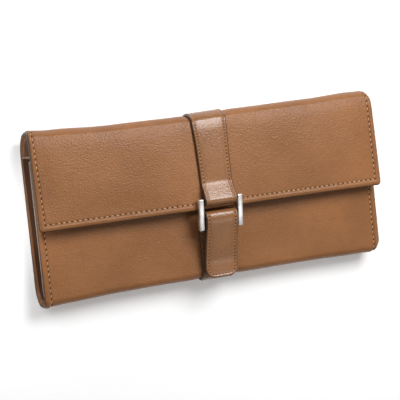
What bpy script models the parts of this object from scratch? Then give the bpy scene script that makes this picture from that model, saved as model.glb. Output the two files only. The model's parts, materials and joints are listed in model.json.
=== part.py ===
"""Leather jewelry case, closed and lying on its back.

Metres, +X along the width, +Y towards the top fold, +Z out of the front.
The origin is the middle of the footprint, at the height of the back's outer face.

The leather is one line through the cross-section, drawn in the YZ plane: front panel, bottom
fold, back, spine and flap, walked so that the outside of the case is on the right. The line is the
inner face of the outer leather. A layer lies between two distances from it, positive outwards.
"""

import math

import bpy
import bmesh
from mathutils import Vector

# Whole case
CASE_WIDTH = 0.240
CASE_REACH = 0.0579
FRONT_HEIGHT = 0.0186
BOTTOM_RADIUS = 0.0130
FRONT_CORNER_RADIUS = 0.0040
MOUTH_FROM_TOP = 0.0199
FLAP_HINGE_HEIGHT = 0.0248
FLAP_EDGE_Y = -0.0080
FLAP_RISE = math.radians(2.7)
SPINE_LEAN = math.radians(35)
SPINE_TURN = math.radians(45)
FLAP_CORNER_RADIUS = 0.0025

# Layers
GAP = 0.0003
LEATHER = 0.0012
BOARD = 0.0007
LINING = 0.0011
BAG_CLOTH = 0.0004
STRAP = 0.0016
TURNED_EDGE = 0.0060
LINING_INSET = 0.0015
OVERRUN = 0.0010

# How far each fold opens, used for the room at the folds
SPINE_SWING = math.radians(58)
FLAP_SWING = math.radians(119.3)
FRONT_SWING = math.radians(14)

# Strap, tab and their loops
STRAP_WIDTH_TOP = 0.0240
SPINE_STRAP_SETBACK = 0.0040
CROSS_STITCH_FROM_RUNG = 0.0121
STRAP_BEND_RADIUS = 0.0060
LOOP_RETURN = 0.0060
TAB_END_MARGIN = 0.0059
TAB_FLAT = 0.0080
TAB_BEND_RADIUS = 0.0160
TAB_RETURN = 0.0060
TAB_RETURN_EXTRA = math.radians(20)
TAB_CORNER_RADIUS = 0.0065
TAB_LINING = 0.0013
TAB_LINING_CLEAR = 0.0070
BASE_STRAP_ABOVE_TAB_END = 0.0320
STRAP_END_MARGIN = math.radians(5)

# Metal link
RUNG_RADIUS = 0.0013
RUNG_FROM_FLAP_EDGE = 0.0057
RUNG_SPACING = 0.0104
LINK_TILT = math.radians(11)
LINK_OUTER_WIDTH = 0.0306
LINK_BAR_WIDTH = 0.0036
LINK_BAR_DEPTH = 0.0032
LINK_BAR_ABOVE = 0.0018
LINK_BAR_BELOW = 0.0191
LINK_BEVEL = 0.0003
LINK_SIDE_CLEARANCE = 0.00095

# Magnets of the tab's closure
MAGNET_RADIUS = 0.0040
MAGNET_FROM_TAB_END = 0.0055

# Gussets
GUSSET_SKIN = 0.0009
GUSSET_INSET = 0.0022
GUSSET_DEPTH = 0.0120
GUSSET_SETBACK = 0.0010

# Zip pocket
ZIP_FROM_MOUTH = 0.0130
ZIP_WINDOW_WIDTH = 0.184
ZIP_WINDOW_HEIGHT = 0.0110
ZIP_TEETH_END_ROOM = 0.0060
ZIP_TEETH_WIDTH = 0.0030
ZIP_TEETH_HEIGHT = 0.0016
ZIP_TAPE = 0.0007
ZIP_STOP_LENGTH = 0.0014
ZIP_STOP_WIDTH = 0.0040
BAG_OVERLAP = 0.0030
BAG_BOTTOM_MARGIN = 0.0199
BAG_ABOVE_ZIP = 0.0090

# Zip slider and puller
SLIDER_END_ROOM = 0.0060
SLIDER_LENGTH = 0.0090
SLIDER_WIDTH = 0.0070
SLIDER_PLATE = 0.0010
EAR_LENGTH = 0.0026
EAR_WIDTH = 0.0010
EAR_SPACING = 0.0018
PIN_RADIUS = 0.0005
PULLER_BORE_CLEARANCE = 0.0003
PULLER_BARREL_RADIUS = 0.0013
PULLER_LENGTH = 0.0120
PULLER_WIDTH = 0.0034
PULLER_PLATE = 0.0010

# Ring roll
ROLL_HEADROOM = 0.0004
ROLL_FROM_GUSSET = 0.0080
ROLL_FROM_MIDDLE = 0.0140
ROLL_BELOW_ZIP = 0.0330
ROLL_END_BEVEL = 0.0015
ROLL_TAB_WIDTH = 0.0080
ROLL_TAB_SKIN = 0.0012
ROLL_TAB_REACH = 0.0100
ROLL_TAB_BEND = 0.0020
SNAP_CAP_RADIUS = 0.0032
SNAP_CAP_HEIGHT = 0.0012
SNAP_CAP_BEVEL = 0.0004
SNAP_STUD_RADIUS = 0.0026
SNAP_STUD_HEIGHT = 0.0012

# Slip pocket on the front lining
SLIP_FROM_MIDDLE = 0.0080
SLIP_BOTTOM_MARGIN = 0.0099
SLIP_BELOW_MOUTH = 0.0340
SLIP_CORNER_RADIUS = 0.0040

# Turns of the leather at a square corner
CORNER = math.radians(90)
HALF_CORNER = CORNER / 2

# Smoothness of round stretches
STEP_ANGLE = math.radians(7.5)
ROUND_SIDES = 32
CORNER_SEGMENTS = 5
EDGE_SEGMENTS = 3
ALONG_SHARE = 0.9

# Derived layers: distances from the line, positive outwards
HALF_WIDTH = CASE_WIDTH / 2
CORE_POCKET = BOARD + GAP
STRAP_INNER = LEATHER + GAP
STRAP_OUTER = STRAP_INNER + STRAP
LINING_OUTER = -(CORE_POCKET + GAP)
LINING_INNER = LINING_OUTER - LINING
BAG_OUTER = LINING_OUTER
BAG_INNER = BAG_OUTER - BAG_CLOTH
BACK_LINING_OUTER = BAG_INNER - GAP
BACK_LINING_INNER = BACK_LINING_OUTER - LINING
INSIDE_BACK = LEATHER - BACK_LINING_INNER
STRAP_WIDTH_LINK = LINK_OUTER_WIDTH - 2 * (LINK_BAR_WIDTH + LINK_SIDE_CLEARANCE)
LOOP_RADIUS = RUNG_RADIUS + GAP + STRAP / 2
FLAP_HEADING = math.pi - FLAP_RISE
FLAP_FOLD = FLAP_HEADING - SPINE_LEAN - SPINE_TURN

# Derived places
MOUTH_Y = CASE_REACH - MOUTH_FROM_TOP
TAB_END_Y = TAB_END_MARGIN - CASE_REACH
GUSSET_FOLD_X = HALF_WIDTH - GUSSET_DEPTH
INSIDE_FRONT = FRONT_HEIGHT - LEATHER + LINING_INNER
ZIP_Y = MOUTH_Y - ZIP_FROM_MOUTH
ZIP_WINDOW_HALF = ZIP_WINDOW_WIDTH / 2
ZIP_TEETH_HALF = ZIP_WINDOW_HALF - ZIP_TEETH_END_ROOM
SLIDER_X = SLIDER_END_ROOM - ZIP_TEETH_HALF
ROLL_Y = ZIP_Y - ROLL_BELOW_ZIP
ROLL_LEFT_X = ROLL_FROM_GUSSET - GUSSET_FOLD_X
ROLL_RIGHT_X = -ROLL_FROM_MIDDLE
ROLL_RADIUS = (INSIDE_FRONT - INSIDE_BACK - GAP - ROLL_HEADROOM) / 2

COLOURS = {
    "tan": ((0.270, 0.130, 0.062, 1.0), 0.42, 0.0),
    "strap": ((0.300, 0.150, 0.075, 1.0), 0.40, 0.0),
    "lining": ((0.160, 0.075, 0.040, 1.0), 0.75, 0.0),
    "board": ((0.330, 0.290, 0.230, 1.0), 0.90, 0.0),
    "cloth": ((0.110, 0.070, 0.045, 1.0), 0.90, 0.0),
    "steel": ((0.720, 0.700, 0.680, 1.0), 0.28, 1.0),
    "brass": ((0.560, 0.420, 0.190, 1.0), 0.35, 1.0),
}


def clear_scene():
    for old in list(bpy.data.objects):
        bpy.data.objects.remove(old, do_unlink=True)


def material(name, colour):
    """One Principled material for one sub-part."""
    base, roughness, metallic = COLOURS[colour]
    made = bpy.data.materials.new(name)
    made.use_nodes = True
    shader = made.node_tree.nodes["Principled BSDF"]
    shader.inputs["Base Color"].default_value = base
    shader.inputs["Roughness"].default_value = roughness
    shader.inputs["Metallic"].default_value = metallic
    return made


def add_object(name, mesh_data, colour, origin=(0, 0, 0)):
    """Turns a bmesh into a named object whose origin lies at the given place."""
    bmesh.ops.recalc_face_normals(mesh_data, faces=mesh_data.faces)
    bmesh.ops.translate(mesh_data, vec=-Vector(origin), verts=mesh_data.verts)
    mesh = bpy.data.meshes.new(name)
    mesh_data.to_mesh(mesh)
    mesh_data.free()
    mesh.shade_smooth()
    mesh.set_sharp_from_angle(angle=math.radians(35))
    made = bpy.data.objects.new(name, mesh)
    made.location = origin
    bpy.context.collection.objects.link(made)
    if colour:
        mesh.materials.append(material(name, colour))
    return made


def as_cutter(made):
    made.hide_render = True
    made.display_type = "WIRE"
    return made


def boolean(target, tool, operation):
    modifier = target.modifiers.new(operation.title() + " " + tool.name, "BOOLEAN")
    modifier.operation = operation
    modifier.solver = "EXACT"
    modifier.object = as_cutter(tool)


# The line through the cross-section


def line(start, heading, length):
    """Stations (y, z, heading) of a straight stretch."""
    end = (start[0] + length * math.cos(heading), start[1] + length * math.sin(heading))
    return [(start[0], start[1], heading), (end[0], end[1], heading)]


def arc(start, heading, radius, turn):
    """Stations of an arc; a positive turn is to the left."""
    side = 1 if turn > 0 else -1
    centre_y = start[0] - side * radius * math.sin(heading)
    centre_z = start[1] + side * radius * math.cos(heading)
    steps = max(2, math.ceil(abs(turn) / STEP_ANGLE))
    stations = []
    for step in range(steps + 1):
        angle = heading + turn * step / steps
        y = centre_y + side * radius * math.sin(angle)
        z = centre_z - side * radius * math.cos(angle)
        stations.append((y, z, angle))
    return stations


def join_runs(*runs):
    """One list of stations, without the doubled ones where two stretches meet."""
    joined = list(runs[0])
    for run in runs[1:]:
        joined.extend(run[1:])
    return joined


def offset(station, distance, along=0.0):
    """The point at a distance to the right of a station, moved along its heading."""
    y, z, heading = station
    out_y = y + distance * math.sin(heading) + along * math.cos(heading)
    out_z = z - distance * math.cos(heading) + along * math.sin(heading)
    return out_y, out_z


def end_of(stations):
    return stations[-1][0], stations[-1][1]


def cut_run(stations, start_length, end_length):
    """The same run, shortened along the line by a length at each end."""
    shortened = trim_start(stations, start_length)
    backwards = [(y, z, h) for y, z, h in reversed(shortened)]
    return list(reversed(trim_start(backwards, end_length)))


def trim_start(stations, length):
    left = length
    rest = list(stations)
    while left > 0 and len(rest) > 2:
        span = math.dist(rest[0][:2], rest[1][:2])
        if span > left:
            break
        left -= span
        rest.pop(0)
    span = math.dist(rest[0][:2], rest[1][:2])
    share = left / span
    first = tuple(a + (b - a) * share for a, b in zip(rest[0], rest[1]))
    return [first] + rest[1:]


def crossed_tangent(centre_a, radius_a, centre_b, radius_b):
    """Heading of the line that leaves circle a on its right side and joins circle b on its left."""
    dy = centre_b[0] - centre_a[0]
    dz = centre_b[1] - centre_a[1]
    return math.atan2(dz, dy) + math.asin((radius_a + radius_b) / math.hypot(dy, dz))


def fold_room(height, angle):
    """How far a layer stops from a hinge, so that it clears its neighbour after this turn."""
    return height * math.tan(abs(angle) / 2) + GAP / 2


# Ways to make a solid


def sweep(name, stations, outer, inner, half_width, colour, trims=(0, 0, 0, 0), corners=0.0,
          start_corners=0.0):
    """A layer between two distances from the line, as wide as stated along X.

    trims shortens the outer and inner face at the start, then at the end.
    """
    mesh_data = bmesh.new()
    rows = []
    last = len(stations) - 1
    for index, station in enumerate(stations):
        along_outer = trims[0] * (index == 0) - trims[2] * (index == last)
        along_inner = trims[1] * (index == 0) - trims[3] * (index == last)
        outside = offset(station, outer, along_outer)
        inside = offset(station, inner, along_inner)
        places = [(-half_width, *outside), (half_width, *outside), (half_width, *inside),
                  (-half_width, *inside)]
        rows.append([mesh_data.verts.new(place) for place in places])
    for before, after in zip(rows, rows[1:]):
        for side in range(4):
            other = (side + 1) % 4
            mesh_data.faces.new([before[side], before[other], after[other], after[side]])
    mesh_data.faces.new(rows[0])
    mesh_data.faces.new(rows[-1])
    round_ends(mesh_data, rows[-1], corners)
    round_ends(mesh_data, rows[0], start_corners)
    return add_object(name, mesh_data, colour)


def round_ends(mesh_data, row, radius):
    """Rounds the two corners of a layer's end, seen square to the leather."""
    if not radius:
        return
    edges = [mesh_data.edges.get((row[0], row[3])), mesh_data.edges.get((row[1], row[2]))]
    bmesh.ops.bevel(mesh_data, geom=edges, offset=radius, segments=CORNER_SEGMENTS, profile=0.5,
                    affect="EDGES", clamp_overlap=False)


def box(name, low, high, colour, bevel=0.0, bevel_axis=2, origin=(0, 0, 0)):
    """A block between two corners, its edges along one axis rounded if asked."""
    mesh_data = bmesh.new()
    bmesh.ops.create_cube(mesh_data, size=1)
    size = [b - a for a, b in zip(low, high)]
    middle = [(a + b) / 2 for a, b in zip(low, high)]
    bmesh.ops.scale(mesh_data, vec=size, verts=mesh_data.verts)
    bmesh.ops.translate(mesh_data, vec=middle, verts=mesh_data.verts)
    if bevel:
        edges = [edge for edge in mesh_data.edges if runs_along(edge, bevel_axis)]
        bmesh.ops.bevel(mesh_data, geom=edges, offset=bevel, segments=CORNER_SEGMENTS, profile=0.5,
                        affect="EDGES", clamp_overlap=False)
    return add_object(name, mesh_data, colour, origin)


def runs_along(edge, axis):
    span = edge.verts[1].co - edge.verts[0].co
    return abs(span[axis]) > ALONG_SHARE * span.length


def prism(name, outline, axis, low, high, colour):
    """An outline in the two other axes, drawn out along one axis."""
    mesh_data = bmesh.new()
    ends = []
    for place in (low, high):
        ring = []
        for first, second in outline:
            point = [first, second]
            point.insert(axis, place)
            ring.append(mesh_data.verts.new(point))
        ends.append(ring)
    count = len(outline)
    for index in range(count):
        other = (index + 1) % count
        mesh_data.faces.new([ends[0][index], ends[0][other], ends[1][other], ends[1][index]])
    mesh_data.faces.new(ends[0])
    mesh_data.faces.new(ends[1])
    return add_object(name, mesh_data, colour)


def cylinder(name, centre, radius, length, axis, colour, bevel=0.0):
    """A round bar with its middle at the centre."""
    mesh_data = bmesh.new()
    bmesh.ops.create_cone(mesh_data, cap_ends=True, segments=ROUND_SIDES, radius1=radius, radius2=radius,
                          depth=length)
    if bevel:
        rims = [edge for edge in mesh_data.edges if not runs_along(edge, 2)]
        bmesh.ops.bevel(mesh_data, geom=rims, offset=bevel, segments=EDGE_SEGMENTS, profile=0.5,
                        affect="EDGES")
    turn_to(mesh_data, [float(axis == index) for index in range(3)])
    bmesh.ops.translate(mesh_data, vec=centre, verts=mesh_data.verts)
    return add_object(name, mesh_data, colour)


def turn_to(mesh_data, direction):
    """Turns a shape that stands along Z to a direction."""
    rotation = Vector((0, 0, 1)).rotation_difference(Vector(direction)).to_matrix()
    bmesh.ops.rotate(mesh_data, matrix=rotation, verts=mesh_data.verts)


def tilted_disc(name, station, outer, inner, radius, colour):
    """A round plate in a layer, square to the line at a station."""
    mesh_data = bmesh.new()
    bmesh.ops.create_cone(mesh_data, cap_ends=True, segments=ROUND_SIDES, radius1=radius, radius2=radius,
                          depth=abs(outer - inner))
    y, z = offset(station, (outer + inner) / 2)
    heading = station[2]
    turn_to(mesh_data, (0, math.sin(heading), -math.cos(heading)))
    bmesh.ops.translate(mesh_data, vec=(0, y, z), verts=mesh_data.verts)
    return add_object(name, mesh_data, colour)


# The runs of the line


def lay_out():
    """The stations of each stretch of leather; two stretches meet at a hinge."""
    runs = {}
    body_y = -CASE_REACH + STRAP_OUTER
    line_corner = FRONT_CORNER_RADIUS - LEATHER
    corner_y = body_y + line_corner
    front_z = FRONT_HEIGHT - LEATHER
    front_flat = line((MOUTH_Y, front_z), math.pi, MOUTH_Y - corner_y)
    front_corner = arc(end_of(front_flat), math.pi, line_corner, HALF_CORNER)
    runs["front"] = join_runs(front_flat, front_corner)
    runs["front flat"] = front_flat
    bottom_hinge = end_of(front_corner)
    back_corner = arc(bottom_hinge, math.pi + HALF_CORNER, line_corner, HALF_CORNER)
    side = line(end_of(back_corner), -CORNER, FRONT_HEIGHT - FRONT_CORNER_RADIUS - BOTTOM_RADIUS)
    fold = arc(end_of(side), -CORNER, BOTTOM_RADIUS - LEATHER, CORNER)

    spine_chord_heading = SPINE_LEAN + SPINE_TURN / 2
    chord = (FLAP_HINGE_HEIGHT - LEATHER) / math.sin(spine_chord_heading)
    spine_end = SPINE_LEAN + SPINE_TURN
    strap_room = fold_room(STRAP_OUTER, FLAP_SWING - FLAP_FOLD)
    flap_hinge_y = CASE_REACH - STRAP_OUTER * math.sin(spine_end) + strap_room * math.cos(spine_end)
    spine_hinge = (flap_hinge_y - chord * math.cos(spine_chord_heading), LEATHER)

    back_flat = line(end_of(fold), 0.0, spine_hinge[0] - end_of(fold)[0])
    runs["back"] = join_runs(back_corner, side, fold, back_flat)
    runs["back flat"] = back_flat
    runs["back inside"] = join_runs(side, fold, back_flat)
    runs["bottom"] = join_runs(back_corner, side, fold)
    runs["spine"] = arc(spine_hinge, SPINE_LEAN, chord / (2 * math.sin(SPINE_TURN / 2)), SPINE_TURN)
    flap_length = (flap_hinge_y - FLAP_EDGE_Y) / math.cos(FLAP_RISE)
    runs["flap"] = line(end_of(runs["spine"]), FLAP_HEADING, flap_length)
    return runs


def rung_places(runs):
    """The middles of the link's two rungs."""
    stand = STRAP_INNER + STRAP + GAP + RUNG_RADIUS
    upper = offset(runs["flap"][-1], stand, -RUNG_FROM_FLAP_EDGE)
    lower = (upper[0] - RUNG_SPACING * math.cos(LINK_TILT), upper[1] - RUNG_SPACING * math.sin(LINK_TILT))
    return upper, lower


# Shells of leather with their boards and linings


def board_in_pocket(name, panel, stations):
    """Sinks a pocket into a panel's inner face, inside its turned edge, and lays the stiff board in it."""
    pocket = cut_run(stations, TURNED_EDGE, TURNED_EDGE)
    half = HALF_WIDTH - TURNED_EDGE
    cutter = sweep(name + "_pocket", pocket, 0.0, -(CORE_POCKET + OVERRUN), half, None)
    boolean(panel, cutter, "DIFFERENCE")
    sweep(name, cut_run(pocket, GAP, GAP), -GAP, -CORE_POCKET, half - GAP, "board")


def make_front(runs):
    hinge_outer = fold_room(LEATHER, FRONT_SWING)
    trims = (0, 0, hinge_outer, GAP / 2)
    panel = sweep("front_panel", runs["front"], LEATHER, -CORE_POCKET, HALF_WIDTH, "tan", trims)
    board_in_pocket("front_board", panel, runs["front flat"])
    lining_run = cut_run(runs["front flat"], LINING_INSET, LINING_INSET)
    sweep("front_lining", lining_run, LINING_OUTER, LINING_INNER, HALF_WIDTH - LINING_INSET, "lining")


def make_slip_pocket():
    low = (SLIP_FROM_MIDDLE, SLIP_BOTTOM_MARGIN - CASE_REACH, INSIDE_FRONT - GAP - LINING)
    high = (GUSSET_FOLD_X, MOUTH_Y - SLIP_BELOW_MOUTH, INSIDE_FRONT - GAP)
    box("slip_pocket", low, high, "lining", SLIP_CORNER_RADIUS, 2)


def make_back(runs):
    hinge_outer = fold_room(LEATHER, FRONT_SWING)
    top_outer = fold_room(LEATHER, SPINE_SWING - SPINE_LEAN)
    top_inner = fold_room(CORE_POCKET, SPINE_LEAN)
    trims = (hinge_outer, GAP / 2, top_outer, top_inner)
    panel = sweep("back_panel", runs["back"], LEATHER, -CORE_POCKET, HALF_WIDTH, "tan", trims)
    board_in_pocket("back_board", panel, runs["back flat"])
    lining_top = fold_room(-BACK_LINING_INNER, SPINE_LEAN)
    lining = sweep("back_lining", runs["back inside"], BACK_LINING_OUTER, BACK_LINING_INNER,
                   HALF_WIDTH - LINING_INSET, "lining", (GAP, GAP, lining_top, lining_top))
    half_window = ZIP_WINDOW_HEIGHT / 2
    window = box("zip_window", (-ZIP_WINDOW_HALF, ZIP_Y - half_window, -OVERRUN),
                 (ZIP_WINDOW_HALF, ZIP_Y + half_window, INSIDE_BACK + OVERRUN), None)
    boolean(lining, window, "DIFFERENCE")
    bag_half = ZIP_WINDOW_HALF + BAG_OVERLAP
    box("pocket_bag", (-bag_half, BAG_BOTTOM_MARGIN - CASE_REACH, LEATHER - BAG_OUTER),
        (bag_half, ZIP_Y + BAG_ABOVE_ZIP, LEATHER - BAG_INNER), "cloth")


def make_spine(runs):
    stations = runs["spine"]
    first = (fold_room(LEATHER, SPINE_SWING - SPINE_LEAN), fold_room(CORE_POCKET, SPINE_LEAN))
    last = (fold_room(LEATHER, FLAP_SWING - FLAP_FOLD), fold_room(CORE_POCKET, FLAP_FOLD))
    sweep("spine_panel", stations, LEATHER, -CORE_POCKET, HALF_WIDTH, "tan", first + last)
    room_first = fold_room(-LINING_INNER, SPINE_LEAN)
    room_last = fold_room(-LINING_INNER, FLAP_FOLD)
    sweep("spine_lining", stations, LINING_OUTER, LINING_INNER, HALF_WIDTH - LINING_INSET, "lining",
          (room_first, room_first, room_last, room_last))
    strap_last = fold_room(STRAP_OUTER, FLAP_SWING - FLAP_FOLD)
    sweep("spine_strap", stations, STRAP_OUTER, STRAP_INNER, STRAP_WIDTH_TOP / 2, "strap",
          (SPINE_STRAP_SETBACK, SPINE_STRAP_SETBACK, strap_last, strap_last))


def make_flap(runs):
    stations = runs["flap"]
    trims = (fold_room(LEATHER, FLAP_SWING - FLAP_FOLD), fold_room(CORE_POCKET, FLAP_FOLD), 0, 0)
    panel = sweep("flap_panel", stations, LEATHER, -CORE_POCKET, HALF_WIDTH, "tan", trims,
                  corners=FLAP_CORNER_RADIUS)
    board_in_pocket("flap_board", panel, stations)
    room = fold_room(-LINING_INNER, FLAP_FOLD)
    sweep("flap_lining", cut_run(stations, room, LINING_INSET), LINING_OUTER, LINING_INNER,
          HALF_WIDTH - LINING_INSET, "lining", corners=FLAP_CORNER_RADIUS)


# Strap, link and tab


def make_flap_strap(runs, rung):
    """Runs down the flap, lifts off at the cross stitch, and folds back round the upper rung."""
    hinge = runs["flap"][0]
    middle = (STRAP_INNER + STRAP_OUTER) / 2
    start = offset(hinge, middle, fold_room(STRAP_OUTER, FLAP_SWING - FLAP_FOLD))
    flat_length = (start[0] - rung[0] - CROSS_STITCH_FROM_RUNG) / math.cos(FLAP_RISE)
    flat = line(start, FLAP_HEADING, flat_length)
    lift_from = end_of(flat)
    bend_centre = (lift_from[0] + STRAP_BEND_RADIUS * math.sin(FLAP_HEADING),
                   lift_from[1] - STRAP_BEND_RADIUS * math.cos(FLAP_HEADING))
    # Mirrored in Y, the lift is a left turn and the loop a right turn
    rise = crossed_tangent((-bend_centre[0], bend_centre[1]), STRAP_BEND_RADIUS, (-rung[0], rung[1]),
                           LOOP_RADIUS)
    lift = arc(lift_from, FLAP_HEADING, STRAP_BEND_RADIUS, -(rise - FLAP_RISE))
    heading = math.pi - rise
    span = math.dist(bend_centre, rung)
    reach = math.sqrt(span ** 2 - (STRAP_BEND_RADIUS + LOOP_RADIUS) ** 2)
    slope = line(end_of(lift), heading, reach)
    loop = arc(end_of(slope), heading, LOOP_RADIUS, math.pi + rise - FLAP_RISE)
    back = line(end_of(loop), 2 * math.pi - FLAP_RISE, LOOP_RETURN)
    stations = join_runs(flat, lift, slope, loop, back)
    strap = sweep("flap_strap", stations, STRAP / 2, -STRAP / 2, STRAP_WIDTH_TOP / 2, "strap")
    narrow_along(strap, start[0], rung[0] + LOOP_RETURN, STRAP_WIDTH_LINK / STRAP_WIDTH_TOP)


def narrow_along(made, from_y, to_y, share):
    """Tapers a strap's width between two places along Y."""
    for vertex in made.data.vertices:
        way = min(max((from_y - vertex.co.y) / (from_y - to_y), 0.0), 1.0)
        vertex.co.x *= 1 + (share - 1) * way


def make_link(upper, lower):
    """Two square bars and two round rungs, cast in one."""
    along = Vector((0, -math.cos(LINK_TILT), -math.sin(LINK_TILT)))
    mesh_data = bmesh.new()
    centre_x = (LINK_OUTER_WIDTH - LINK_BAR_WIDTH) / 2
    length = LINK_BAR_ABOVE + LINK_BAR_BELOW
    middle = Vector((0, *upper)) + along * (LINK_BAR_BELOW - LINK_BAR_ABOVE) / 2
    bars = []
    for side in (-1, 1):
        made = bmesh.ops.create_cube(mesh_data, size=1)["verts"]
        bmesh.ops.scale(mesh_data, vec=(LINK_BAR_WIDTH, length, LINK_BAR_DEPTH), verts=made)
        rotation = Vector((0, -1, 0)).rotation_difference(along).to_matrix()
        bmesh.ops.rotate(mesh_data, matrix=rotation, verts=made)
        bmesh.ops.translate(mesh_data, vec=middle + Vector((side * centre_x, 0, 0)), verts=made)
        bars.extend(made)
    edges = {edge for vertex in bars for edge in vertex.link_edges}
    bmesh.ops.bevel(mesh_data, geom=list(edges), offset=LINK_BEVEL, segments=2, profile=0.5, affect="EDGES")
    link = add_object("link_frame", mesh_data, "steel", (0, *upper))
    for name, place in (("upper_rung", upper), ("lower_rung", lower)):
        rung = cylinder(name, (0, *place), RUNG_RADIUS, 2 * centre_x, 0, None)
        boolean(link, rung, "UNION")
    return link


def tab_run(rung):
    """Middle of the tab's outer leather, from its lower end up to the loop, then round it."""
    height = FRONT_HEIGHT + GAP + STRAP + GAP + TAB_LINING + GAP + STRAP / 2
    flat = line((TAB_END_Y, height), 0.0, TAB_FLAT)
    bend_centre = (TAB_END_Y + TAB_FLAT, height + TAB_BEND_RADIUS)
    rise = crossed_tangent(bend_centre, TAB_BEND_RADIUS, rung, LOOP_RADIUS)
    bend = arc(end_of(flat), 0.0, TAB_BEND_RADIUS, rise)
    span = math.dist(bend_centre, rung)
    reach = math.sqrt(span ** 2 - (TAB_BEND_RADIUS + LOOP_RADIUS) ** 2)
    slope = line(end_of(bend), rise, reach)
    outer_run = join_runs(flat, bend, slope)
    loop_turn = math.pi + TAB_RETURN_EXTRA
    loop = arc(end_of(slope), rise, LOOP_RADIUS, -loop_turn)
    back = line(end_of(loop), rise - loop_turn, TAB_RETURN)
    return outer_run, join_runs(outer_run, loop, back)


def make_tab(rung):
    outer_run, whole = tab_run(rung)
    half = STRAP_WIDTH_LINK / 2
    sweep("tab_strap", whole, STRAP / 2, -STRAP / 2, half, "strap", start_corners=TAB_CORNER_RADIUS)
    under = STRAP / 2 + GAP
    lining = sweep("tab_lining", cut_run(outer_run, 0.0, TAB_LINING_CLEAR), under + TAB_LINING, under, half,
                   "lining", start_corners=TAB_CORNER_RADIUS)
    seat = (TAB_END_Y + MAGNET_FROM_TAB_END, outer_run[0][1], 0.0)
    hole = tilted_disc("tab_magnet_hole", seat, under + TAB_LINING + OVERRUN, under - GAP / 2,
                       MAGNET_RADIUS + GAP, None)
    boolean(lining, hole, "DIFFERENCE")
    tilted_disc("tab_magnet", seat, under + TAB_LINING, under, MAGNET_RADIUS, "steel")


def make_base_strap(runs):
    """Under the tab, and on round the bottom fold to the back's seam."""
    front = runs["front"]
    from_mouth = MOUTH_Y - TAB_END_Y - BASE_STRAP_ABOVE_TAB_END
    room = (fold_room(STRAP_OUTER, FRONT_SWING), fold_room(STRAP_INNER, FRONT_SWING))
    half = STRAP_WIDTH_LINK / 2
    strap = sweep("base_strap", cut_run(front, from_mouth, 0.0), STRAP_OUTER, STRAP_INNER, half, "strap",
                  (0, 0) + room)
    seat = (TAB_END_Y + MAGNET_FROM_TAB_END, FRONT_HEIGHT - LEATHER, math.pi)
    hole = tilted_disc("base_magnet_hole", seat, STRAP_OUTER + OVERRUN, STRAP_INNER - GAP / 2,
                       MAGNET_RADIUS + GAP, None)
    boolean(strap, hole, "DIFFERENCE")
    tilted_disc("base_magnet", seat, STRAP_OUTER, STRAP_INNER, MAGNET_RADIUS, "steel")
    line_radius = BOTTOM_RADIUS - LEATHER
    stand_angle = math.acos(BOTTOM_RADIUS / (line_radius + STRAP_OUTER)) + STRAP_END_MARGIN
    sweep("bottom_strap", cut_run(runs["bottom"], 0.0, line_radius * stand_angle), STRAP_OUTER, STRAP_INNER,
          half, "strap", room + (0, 0))


# Gussets


def make_gussets(runs):
    """A skin folded inwards along its middle, between the back's and the front's linings."""
    low_z = INSIDE_BACK + GAP
    high_z = INSIDE_FRONT - GAP
    outer_x = HALF_WIDTH - GUSSET_INSET
    middle = (low_z + high_z) / 2
    reach = outer_x + (outer_x - GUSSET_FOLD_X) * OVERRUN / (middle - low_z)
    outline = [(reach, low_z - OVERRUN), (GUSSET_FOLD_X, middle), (reach, high_z + OVERRUN),
               (reach - GUSSET_SKIN, high_z + OVERRUN), (GUSSET_FOLD_X - GUSSET_SKIN, middle),
               (reach - GUSSET_SKIN, low_z - OVERRUN)]
    inside = [offset(station, BACK_LINING_INNER - GAP) for station in runs["back inside"][:-1]]
    top_y = MOUTH_Y - GUSSET_SETBACK
    inside += [(top_y, low_z), (top_y, high_z), (inside[0][0], high_z)]
    for side, name in ((-1, "gusset_left"), (1, "gusset_right")):
        gusset = prism(name, [(side * x, z) for x, z in outline], 1, -CASE_REACH, top_y - GAP, "lining")
        room = prism(name + "_room", inside, 0, -CASE_WIDTH, CASE_WIDTH, None)
        boolean(gusset, room, "INTERSECT")


# Zip pocket


def make_zip():
    base = LEATHER - BACK_LINING_OUTER
    edge = ZIP_WINDOW_HEIGHT / 2 - GAP
    teeth_edge = ZIP_TEETH_WIDTH / 2
    half = ZIP_WINDOW_HALF - GAP
    for name, side in (("zip_tape_lower", -1), ("zip_tape_upper", 1)):
        places = sorted((ZIP_Y + side * edge, ZIP_Y + side * (teeth_edge + GAP)))
        box(name, (-half, places[0], base), (half, places[1], base + ZIP_TAPE), "cloth")
    top = base + ZIP_TEETH_HEIGHT
    box("zip_teeth", (-ZIP_TEETH_HALF, ZIP_Y - teeth_edge, base),
        (ZIP_TEETH_HALF, ZIP_Y + teeth_edge, top), "brass")
    stop_base = base + ZIP_TAPE + GAP
    for name, side in (("zip_stop_left", -1), ("zip_stop_right", 1)):
        near = side * (ZIP_TEETH_HALF + GAP)
        far = near + side * ZIP_STOP_LENGTH
        box(name, (min(near, far), ZIP_Y - ZIP_STOP_WIDTH / 2, stop_base),
            (max(near, far), ZIP_Y + ZIP_STOP_WIDTH / 2, stop_base + ZIP_TEETH_HEIGHT - ZIP_TAPE), "brass")
    return top


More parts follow.
